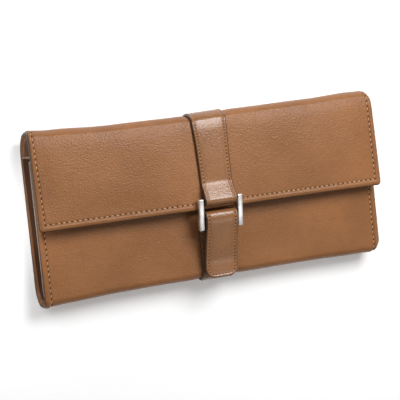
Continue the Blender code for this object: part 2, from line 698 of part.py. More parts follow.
def make_slider(teeth_top):
    """A plate over the teeth, with two ears and a pin for the puller."""
    plate_low = teeth_top + GAP
    plate_top = plate_low + SLIDER_PLATE
    pin_z = plate_top + GAP + PULLER_BARREL_RADIUS
    half_length = SLIDER_LENGTH / 2
    slider = box("zip_slider", (SLIDER_X - half_length, ZIP_Y - SLIDER_WIDTH / 2, plate_low),
                 (SLIDER_X + half_length, ZIP_Y + SLIDER_WIDTH / 2, plate_top), "brass", SLIDER_PLATE, 2,
                 (SLIDER_X, ZIP_Y, plate_low))
    for side in (-1, 1):
        near = ZIP_Y + side * EAR_SPACING / 2 + side * GAP
        far = near + side * EAR_WIDTH
        ear_low = plate_low + SLIDER_PLATE / 2
        ear = box("ear_%d" % side, (SLIDER_X - EAR_LENGTH / 2, min(near, far), ear_low),
                  (SLIDER_X + EAR_LENGTH / 2, max(near, far), pin_z + PULLER_BARREL_RADIUS), None)
        boolean(slider, ear, "UNION")
    pin_length = EAR_SPACING + 2 * GAP + EAR_WIDTH
    pin = cylinder("puller_pin", (SLIDER_X, ZIP_Y, pin_z), PIN_RADIUS, pin_length, 1, None)
    boolean(slider, pin, "UNION")
    make_puller(pin_z)


def make_puller(pin_z):
    half = PULLER_WIDTH / 2
    origin = (SLIDER_X, ZIP_Y, pin_z)
    low_z = pin_z - PULLER_PLATE / 2
    high_z = pin_z + PULLER_PLATE / 2
    puller = box("zip_puller", (SLIDER_X + EAR_LENGTH / 2 + GAP, ZIP_Y - half, low_z),
                 (SLIDER_X + PULLER_LENGTH, ZIP_Y + half, high_z), "brass", PULLER_PLATE, 2, origin)
    neck = box("puller_neck", (SLIDER_X, ZIP_Y - EAR_SPACING / 2, low_z),
               (SLIDER_X + EAR_LENGTH + GAP, ZIP_Y + EAR_SPACING / 2, high_z), None)
    barrel = cylinder("puller_barrel", origin, PULLER_BARREL_RADIUS, EAR_SPACING, 1, None)
    bore_radius = PIN_RADIUS + PULLER_BORE_CLEARANCE
    bore = cylinder("puller_bore", origin, bore_radius, EAR_SPACING + OVERRUN, 1, None)
    boolean(puller, neck, "UNION")
    boolean(puller, barrel, "UNION")
    boolean(puller, bore, "DIFFERENCE")


# Ring roll


def make_ring_roll():
    low = INSIDE_BACK + GAP
    centre_z = low + ROLL_RADIUS
    middle_x = (ROLL_LEFT_X + ROLL_RIGHT_X) / 2
    cylinder("ring_roll", (middle_x, ROLL_Y, centre_z), ROLL_RADIUS, ROLL_RIGHT_X - ROLL_LEFT_X, 0,
             "lining", ROLL_END_BEVEL)
    roll_tab("ring_roll_anchor", ROLL_LEFT_X, -1, low, centre_z)
    stud_top = low + SNAP_STUD_HEIGHT
    cap_x = roll_tab("ring_roll_tab", ROLL_RIGHT_X, 1, stud_top + GAP, centre_z)
    stud_z = low + SNAP_STUD_HEIGHT / 2
    cylinder("ring_snap_stud", (cap_x, ROLL_Y, stud_z), SNAP_STUD_RADIUS, SNAP_STUD_HEIGHT, 2, "steel")
    cap_z = stud_top + GAP + ROLL_TAB_SKIN + GAP + SNAP_CAP_HEIGHT / 2
    cylinder("ring_snap_cap", (cap_x, ROLL_Y, cap_z), SNAP_CAP_RADIUS, SNAP_CAP_HEIGHT, 2, "steel",
             SNAP_CAP_BEVEL)


def roll_tab(name, end_x, side, low, centre_z):
    """A leather tab from the roll's end down to the lining, drawn in the XZ plane."""
    top = centre_z + ROLL_TAB_SKIN / 2
    near = end_x + side * GAP
    step = near + side * ROLL_TAB_BEND
    far = step + side * ROLL_TAB_REACH
    outline = [(near, top), (step, top), (step + side * ROLL_TAB_BEND, top - ROLL_TAB_BEND),
               (step + side * ROLL_TAB_BEND, low + ROLL_TAB_SKIN), (far, low + ROLL_TAB_SKIN), (far, low),
               (step + side * (ROLL_TAB_BEND - ROLL_TAB_SKIN), low),
               (step + side * (ROLL_TAB_BEND - ROLL_TAB_SKIN), top - ROLL_TAB_BEND),
               (step - side * ROLL_TAB_SKIN / 2, top - ROLL_TAB_SKIN), (near, top - ROLL_TAB_SKIN)]
    prism(name, outline, 1, ROLL_Y - ROLL_TAB_WIDTH / 2, ROLL_Y + ROLL_TAB_WIDTH / 2, "strap")
    return (step + side * ROLL_TAB_BEND + far) / 2


def main():
    clear_scene()
    runs = lay_out()
    upper, lower = rung_places(runs)
    make_back(runs)
    make_gussets(runs)
    make_spine(runs)
    make_flap(runs)
    make_front(runs)
    make_slip_pocket()
    make_flap_strap(runs, upper)
    make_link(upper, lower)
    make_tab(lower)
    make_base_strap(runs)
    make_slider(make_zip())
    make_ring_roll()


main()
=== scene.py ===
"""Leather jewelry case, closed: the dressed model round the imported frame.

Every length is in metres. X runs along the case, Y from the bottom fold to the top fold, Z up.
"""

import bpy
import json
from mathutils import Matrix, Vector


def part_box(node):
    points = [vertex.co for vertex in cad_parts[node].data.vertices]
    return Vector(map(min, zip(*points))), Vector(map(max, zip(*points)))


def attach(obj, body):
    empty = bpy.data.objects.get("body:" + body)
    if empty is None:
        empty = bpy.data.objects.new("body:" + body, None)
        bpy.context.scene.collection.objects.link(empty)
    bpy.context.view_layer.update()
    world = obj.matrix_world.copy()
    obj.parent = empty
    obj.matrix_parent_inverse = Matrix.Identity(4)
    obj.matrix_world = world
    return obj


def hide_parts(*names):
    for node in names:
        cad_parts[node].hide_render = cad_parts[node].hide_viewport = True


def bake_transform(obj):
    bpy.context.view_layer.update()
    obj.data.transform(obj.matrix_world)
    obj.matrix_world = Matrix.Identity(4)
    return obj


bl_info = {
    "name": "Leather Jewelry Case",
    "version": (1, 0, 0),
    "blender": (4, 5, 0),
    "location": "3D View > Sidebar > Jewelry Case",
    "description": "Dresses the packed jewelry case in leather, thread, steel and suede",
    "category": "Add Mesh",
}

import json
import math

import bmesh
import bpy
import numpy as np
from bpy.props import FloatProperty, FloatVectorProperty, PointerProperty
from mathutils import Matrix, Vector

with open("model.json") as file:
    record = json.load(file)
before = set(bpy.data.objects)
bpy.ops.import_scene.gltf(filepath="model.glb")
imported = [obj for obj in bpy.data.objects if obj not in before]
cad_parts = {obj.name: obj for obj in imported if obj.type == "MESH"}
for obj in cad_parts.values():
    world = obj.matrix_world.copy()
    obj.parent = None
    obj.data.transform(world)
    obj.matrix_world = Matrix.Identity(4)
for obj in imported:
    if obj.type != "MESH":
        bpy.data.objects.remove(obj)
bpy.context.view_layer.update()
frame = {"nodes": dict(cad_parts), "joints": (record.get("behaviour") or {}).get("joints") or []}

# Places that the frame gives
JOINTS = {joint["name"]: joint for joint in frame["joints"]}
FLAP_HINGE_Y, FLAP_HINGE_Z = JOINTS["flap_fold"]["pos_m"][1:]
UPPER_RUNG = JOINTS["link_swing"]["pos_m"][1:]
LOWER_RUNG = JOINTS["tab_lift"]["pos_m"][1:]
PULLER_PIN = JOINTS["puller_swing"]["pos_m"]
FRONT_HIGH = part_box("front_panel")[1]
BACK_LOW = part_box("back_panel")[0]
FLAP_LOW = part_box("flap_panel")[0]
TAB_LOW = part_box("tab_strap")[0]
LINK_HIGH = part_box("link_frame")[1]
BASE_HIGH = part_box("base_strap")[1]
BACK_LINING_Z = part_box("zip_tape_lower")[0].z

QUARTER = math.radians(90)
HALF_TURN = math.radians(180)
TURN = math.radians(360)
STITCH_INSET = 0.0044


# Settings


def length(name, description, default):
    return FloatProperty(
        name=name, description=description, default=default, precision=5, unit="LENGTH", subtype="DISTANCE"
    )


def share(name, description, default):
    return FloatProperty(
        name=name, description=description, default=default, min=0.0, max=1.0, subtype="FACTOR"
    )


def power(name, description, default):
    return FloatProperty(name=name, description=description, default=default, unit="POWER")


def angle(name, description, degrees):
    return FloatProperty(
        name=name, description=description, default=math.radians(degrees), unit="ROTATION", subtype="ANGLE"
    )


def colour(name, description, default):
    return FloatVectorProperty(
        name=name, description=description, default=default, size=3, min=0.0, max=1.0, subtype="COLOR"
    )


class ShellSettings(bpy.types.PropertyGroup):
    half_width: length("Half width", "From the middle to either end", FRONT_HIGH.x)
    mouth_y: length("Mouth", "Where the pouch opens", FRONT_HIGH.y)
    front_height: length("Front height", "Outer face of the closed front", FRONT_HIGH.z)
    bottom_y: length("Bottom fold", "Outermost line of the bottom fold", BACK_LOW.y)
    front_radius: length("Front shoulder radius", "Round of the bottom fold at the front", 0.0044)
    spine_start_y: length("Spine start", "Where the flat back turns up into the spine", 0.0385)
    spine_radius: length("Spine radius", "Round of the spine above the back", 0.0163)
    fold_radius: length("Fold radius", "Round of the top fold up to its shoulder", 0.0078)
    shoulder_radius: length("Shoulder radius", "Round of the shoulder between fold and flap", 0.0024)
    crown_radius: length("Crown radius", "Long round from the shoulder to the flat of the flap", 0.0488)
    fold_lean: angle("Fold lean", "Slope of the leather where the shoulder begins", 42.0)
    shoulder_lean: angle("Shoulder lean", "Slope of the leather where the shoulder ends", 12.0)
    flap_rise: angle("Flap rise", "Slope of the flap towards its free edge", 2.7)
    flap_edge_y: length("Flap edge", "Free edge of the flap", FLAP_LOW.y)
    leather: length("Leather", "Thickness of the outer leather", 0.0012)
    turned_level: length("Turned level", "Inner face of a turned edge below the leather", 0.0010)
    turned_width: length("Turned width", "How far a turned edge reaches in", 0.0060)
    front_corner: length("Front corner radius", "Corners at the mouth", 0.0040)
    flap_corner: length("Flap corner radius", "Free corners of the flap", 0.0026)
    stitch_inset: length("Stitch inset", "From the edge to the row of stitches", STITCH_INSET)
    nearer_left: length("Nearer on the left", "Stitches nearer to the left side at the top fold", 0.0017)
    nearer_right: length("Nearer on the right", "Stitches nearer to the right side at the top fold", 0.0009)
    puff: length("Puff", "How far the padded flap stands out in its middle", 0.0008)
    front_drawn_in: length("Front drawn in", "How far the pouch's front draws in at the left end", 0.0013)
    top_sag: length("Top sag", "How far the top fold hangs in at its middle", 0.0024)
    bottom_sag: length("Bottom sag", "How far the bottom fold draws in at its middle", 0.0020)
    end_round: length("End round", "Plan radius of the top fold at the right end", 0.0050)
    bottom_round: length("Bottom round", "Plan radius of the bottom fold at the right end", 0.0074)


class StrapSettings(bpy.types.PropertyGroup):
    thickness: length("Thickness", "Thickness of the strap leather", 0.0016)
    clearance: length("Clearance", "From the case's leather to the strap", 0.0003)
    width_top: length("Top width", "Width on the top fold", 0.0240)
    width_flap: length("Flap width", "Width on the flap", 0.0228)
    width_sewn: length("Sewn width", "Width at the cross stitch", 0.0220)
    width_link: length("Link width", "Width round the link and of the tab", 0.0223)
    width_tab: length("Tab width", "Width of the tab at its free end", 0.0232)
    tab_shift: length("Tab shift", "How far the tab's free end lies to the left", 0.0006)
    base_shift: length("Base shift", "How far the base strap lies to the left", 0.0013)
    lift_y: length("Lift", "Where the strap leaves the flap towards the link", 0.0102)
    lift_radius: length("Lift radius", "Round where the strap leaves the flap", 0.0070)
    crown_lean: angle("Tab crown lean", "Slope of the tab's leather where its crown begins", 15.0)
    crown_radius: length("Tab crown radius", "Round of the tab beyond the lower rung", 0.0090)
    loop_radius: length("Loop radius", "Middle of the leather round a rung", 0.0024)
    stitch_inset: length("Stitch inset", "From the strap's edge to its stitches", 0.0021)
    tab_end_y: length("Tab end", "Free end of the tab", TAB_LOW.y - 0.0016)
    tab_height: length("Tab height", "Outer face of the tab's flat end", 0.0246)
    tab_flat: length("Tab flat", "Length of the tab's flat end", 0.0080)
    tab_bend_radius: length("Tab bend radius", "Round between slope and flat end", 0.0160)
    tab_corner: length("Tab corner radius", "Free corners of the tab", 0.0068)


class LinkSettings(bpy.types.PropertyGroup):
    outer_half: length("Outer half width", "From the middle to the outer side of a bar", LINK_HIGH.x)
    bar_width: length("Bar width", "Width of a side bar", 0.0036)
    bar_depth: length("Bar depth", "Depth of a side bar", 0.0032)
    above: length("Bar above the rung", "Bar beyond the upper rung", 0.0018)
    below: length("Bar below the rung", "Bar below the upper rung", 0.0191)
    bevel: length("Bevel", "Eased edges of a bar", 0.00045)
    rung_radius: length("Rung radius", "Cross rungs inside the leather loops", 0.0013)


class InsideSettings(bpy.types.PropertyGroup):
    lining: length("Lining", "Thickness of the lining", 0.0011)
    lining_inset: length("Lining inset", "From the leather's edge to the lining's", 0.0015)
    lining_gap: length("Lining gap", "From the turned edge to the lining", 0.0003)
    window_half: length("Zip window half", "Half the length of the zip's window", 0.0920)
    window_height: length("Zip window height", "Height of the zip's window", 0.0110)
    zip_y: length("Zip line", "Middle of the zip", 0.0250)
    tooth_pitch: length("Tooth pitch", "From one tooth to the next", 0.0015)
    gusset_skin: length("Gusset leather", "Thickness of the gusset", 0.0009)
    hem: length("Hem", "Width of the gusset's hem", 0.0010)
    gusset_rise: length("Gusset rise", "How far the gusset stands above its mouth in the frame", 0.0028)


class LookSettings(bpy.types.PropertyGroup):
    tan: colour("Shell tan", "Smooth leather of the shell", (0.304, 0.124, 0.041))
    strap: colour("Strap tan", "Smooth leather of the strap and tab", (0.292, 0.124, 0.044))
    # The gusset brown is partly the leather's own dark tone and partly painted shade of the case's shaded
    # ends.
    gusset: colour("Gusset brown", "Leather of the gussets", (0.068, 0.025, 0.009))
    # The hem's pale colour is partly the raw edge's own and partly a painted highlight along the front's
    # edge.
    hem: colour("Hem", "Raw edge of the gusset's hem", (0.560, 0.380, 0.250))
    suede: colour("Lining", "Suede of the lining", (0.150, 0.082, 0.048))
    velvet: colour("Velvet", "Velvet of the ring roll", (0.230, 0.130, 0.080))
    cloth: colour("Cloth", "Cloth of the zip pocket", (0.190, 0.120, 0.080))
    thread: colour("Thread", "Waxed thread", (0.660, 0.430, 0.260))
    needle: colour("Needle holes", "Shade inside a needle hole", (0.030, 0.010, 0.004))
    steel: colour("Steel", "Brushed steel of the link", (0.930, 0.910, 0.880))
    brass: colour("Brass", "Zip and snap", (0.620, 0.440, 0.200))
    board: colour("Board", "Stiff board", (0.420, 0.350, 0.270))


class StageSettings(bpy.types.PropertyGroup):
    lens: FloatProperty(name="Lens", description="Focal length in millimetres", default=113.4)
    key_power: power("Key light", "Power of the key light", 5.5)
    left_power: power("Left light", "Power of the soft light from the left", 0.8)
    side_power: power("Side light", "Power of the low lamp over the floor by the left end", 0.070)
    card_power: power("Card", "Power of the soft card before the link", 0.80)
    fill: share("Fill", "Strength of the pale room light", 0.18)
    glow: share("Floor glow", "Share of its own light that the camera sees on the floor", 0.18)


# Shapes


class Walk:
    """A line of straights and rounds in the plane of Y and Z. Outward is on its right hand."""

    def __init__(self, y, z, heading):
        self.y, self.z, self.heading, self.length = y, z, heading, 0.0
        self.legs = []
        self.marks = {}

    def _leg(self, distance, bend):
        self.legs.append((self.length, self.y, self.z, self.heading, bend))
        if bend:
            turned = self.heading + bend * distance
            self.y += (math.sin(turned) - math.sin(self.heading)) / bend
            self.z -= (math.cos(turned) - math.cos(self.heading)) / bend
            self.heading = turned
        else:
            self.y += distance * math.cos(self.heading)
            self.z += distance * math.sin(self.heading)
        self.length += distance
        return self

    def straight(self, distance):
        return self._leg(distance, 0.0)

    def turn(self, turn_angle, radius):
        return self._leg(abs(turn_angle) * radius, math.copysign(1.0 / radius, turn_angle))

    def mark(self, name):
        self.marks[name] = self.length
        return self

    def at(self, distance, outward=0.0):
        """Y, Z and heading at distances along the line and outward of it."""
        distance = np.asarray(distance, float)
        legs = np.array(self.legs)
        place = np.clip(np.searchsorted(legs[:, 0], distance, side="right") - 1, 0, len(legs) - 1)
        start, y, z, heading, bend = legs[place].transpose(len(distance.shape), *range(len(distance.shape)))
        gone = distance - start
        now = heading + bend * gone
        curved = np.where(bend == 0.0, 1.0, bend)
        across = np.where(bend == 0.0, gone * np.cos(heading), (np.sin(now) - np.sin(heading)) / curved)
        up = np.where(bend == 0.0, gone * np.sin(heading), (np.cos(heading) - np.cos(now)) / curved)
        return y + across + outward * np.sin(now), z + up - outward * np.cos(now), now

    def beside(self, distance, outward):
        """A new walk that sets out from a place on this one, outward of it."""
        y, z, heading = self.at(distance, outward)
        return Walk(float(y), float(z), float(heading))

    def lines(self, start, end, straight_step, round_step=math.radians(6.0)):
        """Distances that follow the line closely enough from start to end."""
        found = [start, end]
        ends = [leg[0] for leg in self.legs[1:]] + [self.length]
        for (begin, _, _, _, bend), finish in zip(self.legs, ends):
            low, high = max(begin, start), min(finish, end)
            if high <= low:
                continue
            step = min(straight_step, round_step / abs(bend)) if bend else straight_step
            found += list(np.linspace(low, high, max(2, math.ceil((high - low) / step) + 1)))
        return np.array(found)


def heading_between(first, first_radius, second, second_radius):
    """Heading of the straight from one round to the next. Left turns have a positive radius."""
    y, z = second[0] - first[0], second[1] - first[1]
    return math.atan2(z, y) + math.asin((first_radius - second_radius) / math.hypot(y, z))


def eased(value):
    value = np.clip(value, 0.0, 1.0)
    return value * value * (3.0 - 2.0 * value)


def within(value, start, end, reach):
    """1 from start to end, and 0 further off than reach, eased."""
    return eased((value - start + reach) / reach) * eased((end + reach - value) / reach)


def fold_rounds(shell):
    """The rounds of the top fold, each with the slopes where it begins and ends and its inner radius."""
    return (
        (QUARTER, shell.fold_lean, shell.fold_radius),
        (shell.fold_lean, shell.shoulder_lean, shell.shoulder_radius),
        (shell.shoulder_lean, shell.flap_rise, shell.crown_radius),
    )


def fold_over(walk, shell, outward):
    """Takes a walk that lies outward of the leather's inner line over the top fold."""
    for begin, end, radius in fold_rounds(shell):
        walk.turn(begin - end, radius + outward)
        if end == shell.shoulder_lean:
            walk.mark("shoulder")
    walk.mark("flap")


def case_walk(shell):
    """The leather's inner line, from the mouth round the bottom, the back and the spine to the flap."""
    floor = shell.leather
    bottom = shell.bottom_y + shell.leather
    front = shell.front_height - shell.leather
    walk = Walk(shell.mouth_y, front, HALF_TURN).mark("mouth")
    walk.straight(walk.y - bottom - shell.front_radius).mark("fold")
    walk.turn(QUARTER, shell.front_radius).mark("bottom")
    walk.turn(QUARTER, walk.z - floor).mark("back")
    walk.straight(shell.spine_start_y - walk.y).mark("spine")
    walk.turn(QUARTER, shell.spine_radius)
    ahead, rise = 0.0, 0.0
    for begin, end, radius in fold_rounds(shell):
        ahead += radius * (math.sin(begin) - math.sin(end))
        rise += radius * (math.cos(end) - math.cos(begin))
    crown_y = walk.y - ahead
    crown_z = FLAP_HINGE_Z + (FLAP_HINGE_Y - crown_y) * math.tan(shell.flap_rise)
    upright = crown_z - rise - walk.z
    walk.straight(upright / 2).mark("split").straight(upright / 2)
    fold_over(walk, shell, 0.0)
    walk.straight((walk.y - shell.flap_edge_y) / math.cos(shell.flap_rise)).mark("edge")
    walk.marks["middle"] = (walk.marks["back"] + walk.marks["spine"]) / 2
    return walk


# Worn leather: shares of the folds' sag along X, and how each change sets in
SAG_PLACES = (-0.120, -0.104, -0.066, -0.020, 0.030, 0.075, 0.105, 0.120)
TOP_SAG_SHARES = (0.0, 0.45, 1.05, 1.0, 0.55, 0.42, 0.0, 0.0)
BOTTOM_SAG_SHARES = (0.0, 0.35, 0.95, 1.0, 0.85, 0.62, 0.30, 0.0)
FOLD_Y = 0.056
SAG_REACH = 0.024
END_REACH = 0.012
FLAP_LEVEL, FLAP_LEVEL_REACH = 0.0205, 0.0020
FRONT_LEVEL, FRONT_LEVEL_REACH = 0.0085, 0.0060
DRAWN_IN_START, DRAWN_IN_REACH = 0.095, 0.025
EDGE_SKEW = 0.0017
EDGE_SKEW_MIDDLE = 0.0002
EDGE_SKEW_START, EDGE_SKEW_REACH = 0.020, 0.028
STRAP_DENT = 0.0010
BASE_DENT = 0.0005
DENT_HALF, DENT_SIDE = 0.0170, 0.0060
LEFT_LEAN = 0.0007
LEFT_LEAN_MIDDLE = 0.0005
LEFT_LEAN_START = 0.085
SQUARE_MOST = 0.985


def spread(x, places, shares):
    """Shares at x that pass smoothly from one place to the next."""
    x = np.clip(x, places[0], places[-1])
    place = np.clip(np.searchsorted(places, x, side="right") - 1, 0, len(places) - 2)
    places, shares = np.array(places), np.array(shares)
    gone = eased((x - places[place]) / (places[place + 1] - places[place]))
    return shares[place] + (shares[place + 1] - shares[place]) * gone


def rounded_off(x, half_width, radius):
    """How far a corner of this radius at the right end lies inside the square one."""
    over = np.clip((x - half_width + radius) / radius, 0.0, SQUARE_MOST)
    return radius * (1.0 - np.sqrt(1.0 - over * over))


def settled(shell, skew=True):
    """The way in which pieces that lie on the shell settle with it."""
    return lambda points: settle(points, shell, skew)


def settle(points, shell, skew=True):
    """Lets the folds hang in, the front draw in and the right end round off, as worn leather does."""
    points = np.array(points, float)
    x, y, z = points[..., 0], points[..., 1], points[..., 2]
    top, bottom = (eased((way * y - FOLD_Y + SAG_REACH) / SAG_REACH) for way in (1, -1))
    top_end, bottom_end = (eased((way * y - FOLD_Y + END_REACH) / END_REACH) for way in (1, -1))
    dented = eased((DENT_HALF - np.abs(x)) / DENT_SIDE)
    move = bottom * (shell.bottom_sag * spread(x, SAG_PLACES, BOTTOM_SAG_SHARES) + BASE_DENT * dented)
    move = move - top * (shell.top_sag * spread(x, SAG_PLACES, TOP_SAG_SHARES) + STRAP_DENT * dented)
    move = move - top_end * rounded_off(x, shell.half_width, shell.end_round)
    move = move + bottom_end * rounded_off(x, shell.half_width, shell.bottom_round)
    on_flap = eased((z - FLAP_LEVEL) / FLAP_LEVEL_REACH)
    if skew:
        near_edge = on_flap * eased((EDGE_SKEW_START - y) / EDGE_SKEW_REACH)
        move = move + near_edge * (EDGE_SKEW_MIDDLE - EDGE_SKEW * x / (2 * shell.half_width))
    in_front = eased((z - FRONT_LEVEL) / FRONT_LEVEL_REACH) * (1.0 - on_flap)
    x = x + shell.front_drawn_in * in_front * eased((-x - DRAWN_IN_START) / DRAWN_IN_REACH)
    lean = eased((-x - LEFT_LEAN_START) / (shell.half_width - LEFT_LEAN_START))
    points[..., 0] = x + lean * (LEFT_LEAN_MIDDLE + LEFT_LEAN * y / FOLD_Y)
    points[..., 1] = y + move
    return points


# Meshes

# Lines inwards of a turned edge, about a row of stitches, and over the bead and groove of the sides
EDGE_STEPS = (0.0, 0.00012, 0.0003, 0.00055, 0.0008, 0.00105, 0.0016, 0.0023, 0.0031, 0.0037, 0.0040)
ROW_STEPS = (-0.0006, -0.0003, 0.0, 0.0003, 0.0006, 0.0016)
ROW_CLEAR = 0.0018
SIDE_COLUMNS = np.arange(0.0021, 0.0057, 0.0003)
LEAST_STEP = 0.00004
SHARP_ANGLE = math.radians(52)
PLATE_CORNER = math.radians(50)
CORNER_STEPS = 6
EDGE_RADIUS = 0.00105
RIM = 0.0001


def joined(*groups):
    """Sorted distances from several groups, without any that all but meet."""
    values = np.sort(np.concatenate([np.asarray(group, float).ravel() for group in groups]))
    return values[np.concatenate([[True], np.diff(values) > LEAST_STEP])]


def edge_lines(edge, inward, row=None):
    """Lines that draw a turned edge, and its row of stitches where it has one."""
    if row is None:
        return [edge + inward * step for step in EDGE_STEPS]
    steps = [step for step in EDGE_STEPS if step < row + ROW_STEPS[0]]
    return [edge + inward * step for step in steps + [row + step for step in ROW_STEPS]]


def even_lines(start, end, step):
    return np.linspace(start, end, max(2, math.ceil(abs(end - start) / step) + 1))


def turned_lines(lines, start, end, turned, clear, row=None):
    """The lines from start to end, with the closer lines of an edge at each turned end."""
    if turned[0]:
        lines = joined([v for v in lines if v > start + clear], edge_lines(start, 1, row))
    if turned[1]:
        lines = joined([v for v in lines if v < end - clear], edge_lines(end, -1, row))
    return joined(lines)


def columns_across(half, inset, step, row=None, more=()):
    """Columns from side to side: even ones between the closer ones of both edges."""
    middle = even_lines(inset - half, half - inset, step)
    return joined(edge_lines(-half, 1, row), middle, edge_lines(half, -1, row), more)


def new_piece(name, body, material, hide=None, edge=None, part=None):
    """A smooth mesh object from points and faces.

    Its hide attribute is where each point lay on the flat material, edge is how far from the
    edge it lay, and part tells two looks of one material apart.
    """
    mesh = bpy.data.meshes.new(name)
    points = np.asarray(body[0], float).reshape(-1, 3)
    mesh.from_pydata(points.tolist(), [], [list(face) for face in body[1]])
    mesh.validate()
    mesh.polygons.foreach_set("use_smooth", [True] * len(mesh.polygons))
    mesh.set_sharp_from_angle(angle=SHARP_ANGLE)
    flat = points if hide is None else np.asarray(hide, float).reshape(-1, 3)
    layer = mesh.attributes.new("hide", "FLOAT_VECTOR", "POINT")
    layer.data.foreach_set("vector", flat.astype(np.float32).ravel())
    for label, values in (("edge", edge), ("part", part)):
        kept = np.zeros(len(points)) if values is None else np.asarray(values, float).ravel()
        mesh.attributes.new(label, "FLOAT", "POINT").data.foreach_set("value", kept.astype(np.float32))
    piece = bpy.data.objects.new(name, mesh)
    bpy.context.scene.collection.objects.link(piece)
    mesh.materials.append(material)
    return piece


def merge(*bodies):
    """One list of points and faces from several."""
    points, faces, count = [], [], 0
    for some_points, some_faces in bodies:
        points.append(np.asarray(some_points, float))
        faces += [tuple(count + corner for corner in face) for face in some_faces]
        count += len(some_points)
    return np.concatenate(points), faces


def closed_sheet(outer, inner, keep=None):
    """A sheet with two faces, closed round its edge and its holes, and the points of it that are used."""
    rows, columns = outer.shape[:2]
    count = rows * columns
    index = np.arange(count).reshape(rows, columns)
    keep = np.ones((rows - 1, columns - 1), bool) if keep is None else keep
    a, b = index[:-1, :-1][keep], index[:-1, 1:][keep]
    c, d = index[1:, 1:][keep], index[1:, :-1][keep]
    front = np.stack([a, d, c, b], 1)
    back = np.stack([a, b, c, d], 1) + count
    ways = np.concatenate([front[:, [i, (i + 1) % 4]] for i in range(4)])
    codes, reverse = ways[:, 0] * count + ways[:, 1], ways[:, 1] * count + ways[:, 0]
    open_ways = ways[~np.isin(codes, reverse)]
    p, q = open_ways[:, 0], open_ways[:, 1]
    rim = np.stack([q, p, p + count, q + count], 1)
    faces = np.concatenate([front, back, rim])
    used, faces = np.unique(faces, return_inverse=True)
    points = np.concatenate([outer.reshape(-1, 3), inner.reshape(-1, 3)])[used]
    return points, faces.reshape(-1, 4), used


class Sheet:
    """A sheet of leather or lining laid along a walk, with rounded edges and corners.

    Its half width, lower face and upper face are each one value or a function of the place on it.
    """

    def __init__(self, walk, rows, columns, half, low, high, turned=(True, True), corners=(0.0, 0.0)):
        self.walk, self.keep = walk, None
        start, end = rows[0], rows[-1]
        distance = np.repeat(rows[:, None], len(columns), 1)
        width = half(distance) if callable(half) else np.full(distance.shape, float(half))
        x = columns[None, :] * width / columns[-1]
        edge = width - np.abs(x)
        for at_end, is_turned, radius in ((False, turned[0], corners[0]), (True, turned[1], corners[1])):
            if not is_turned:
                continue
            inset = end - distance if at_end else distance - start
            edge = np.minimum(edge, inset)
            if radius:
                # The square grid of the corner is bent onto arcs about the corner's own middle
                side, ahead = np.abs(x) - (width - radius), radius - inset
                corner = (side > 0) & (ahead > 0)
                most = np.maximum(np.maximum(side, ahead), 1e-9)
                swing = QUARTER / 2 * np.minimum(side, ahead) / most
                wide = side >= ahead
                new_side = most * np.where(wide, np.cos(swing), np.sin(swing))
                new_ahead = most * np.where(wide, np.sin(swing), np.cos(swing))
                x = np.where(corner, np.sign(x) * (width - radius + new_side), x)
                bent = end - radius + new_ahead if at_end else start + radius - new_ahead
                distance = np.where(corner, bent, distance)
        self.x, self.distance, self.edge = x, distance, edge
        low = low(x, distance, edge) if callable(low) else np.full(x.shape, float(low))
        high = high(x, distance, edge) if callable(high) else np.full(x.shape, float(high))
        radius = np.clip((high - low - RIM) / 2, 0.0, EDGE_RADIUS)
        inside = np.clip(radius - edge, 0.0, None)
        drop = radius - np.sqrt(np.clip(radius**2 - inside**2, 0.0, None))
        self.low, self.high = low + drop, high - drop

    def points(self, outward):
        y, z, _ = self.walk.at(self.distance, outward)
        return np.stack([self.x, y, z], -1)

    def build(self, name, material, shape=None):
        outer, inner = self.points(self.high), self.points(self.low)
        if shape is not None:
            outer, inner = shape(outer), shape(inner)
        points, faces, used = closed_sheet(outer, inner, self.keep)
        flat = np.stack([self.x, self.distance, np.zeros(self.x.shape)], -1).reshape(-1, 3)
        side = np.concatenate([np.zeros(self.x.size), np.ones(self.x.size)])[used]
        hide = np.concatenate([flat, flat + np.array([0.5, 0.5, 0.0])])[used]
        edge = np.concatenate([self.edge.ravel()] * 2)[used]
        return new_piece(name, (points, faces), material, hide, edge, side)


def finished_body(work):
    """Points and faces of a bmesh, which is freed."""
    work.verts.index_update()
    points = np.array([vert.co for vert in work.verts])
    faces = [tuple(vert.index for vert in face.verts) for face in work.faces]
    work.free()
    return points, faces


def in_order(body):
    """The same body with its faces in one fixed order, for a shape whose bevel makes them in any order."""
    points, faces = body
    starts = [face.index(min(face)) for face in faces]
    return points, sorted(face[start:] + face[:start] for face, start in zip(faces, starts))


def ease_edges(work, edges, offset, segments=2):
    bmesh.ops.bevel(
        work, geom=edges, offset=offset, segments=segments, profile=0.5, affect="EDGES", clamp_overlap=True
    )


def block(size, bevel, segments=2):
    """Points and faces of a block with eased edges, about its middle."""
    work = bmesh.new()
    bmesh.ops.create_cube(work, size=1.0)
    bmesh.ops.scale(work, vec=Vector(size), verts=work.verts)
    ease_edges(work, work.edges, bevel, segments)
    return finished_body(work)


def plate(outline, low, high, bevel, hole=None):
    """Points and faces of a flat plate from its outline, with eased edges and, if given, one hole."""
    work = bmesh.new()
    loops = [outline] if hole is None else [outline, hole]
    rings = [[work.verts.new((x, y, low)) for x, y in loop] for loop in loops]
    if hole is None:
        work.faces.new(rings[0][::-1])
    else:
        for i, (a, b) in enumerate(zip(*rings)):
            after = (i + 1) % len(outline)
            work.faces.new((a, b, rings[1][after], rings[0][after]))
    made = bmesh.ops.extrude_face_region(work, geom=list(work.faces))
    lifted = [part for part in made["geom"] if isinstance(part, bmesh.types.BMVert)]
    bmesh.ops.translate(work, vec=(0, 0, high - low), verts=lifted)
    bmesh.ops.recalc_face_normals(work, faces=work.faces)
    inner = [edge for edge in work.edges if len(edge.link_faces) == 2]
    ease_edges(work, [edge for edge in inner if edge.calc_face_angle(0) > PLATE_CORNER], bevel)
    bmesh.ops.recalc_face_normals(work, faces=work.faces)
    return finished_body(work)


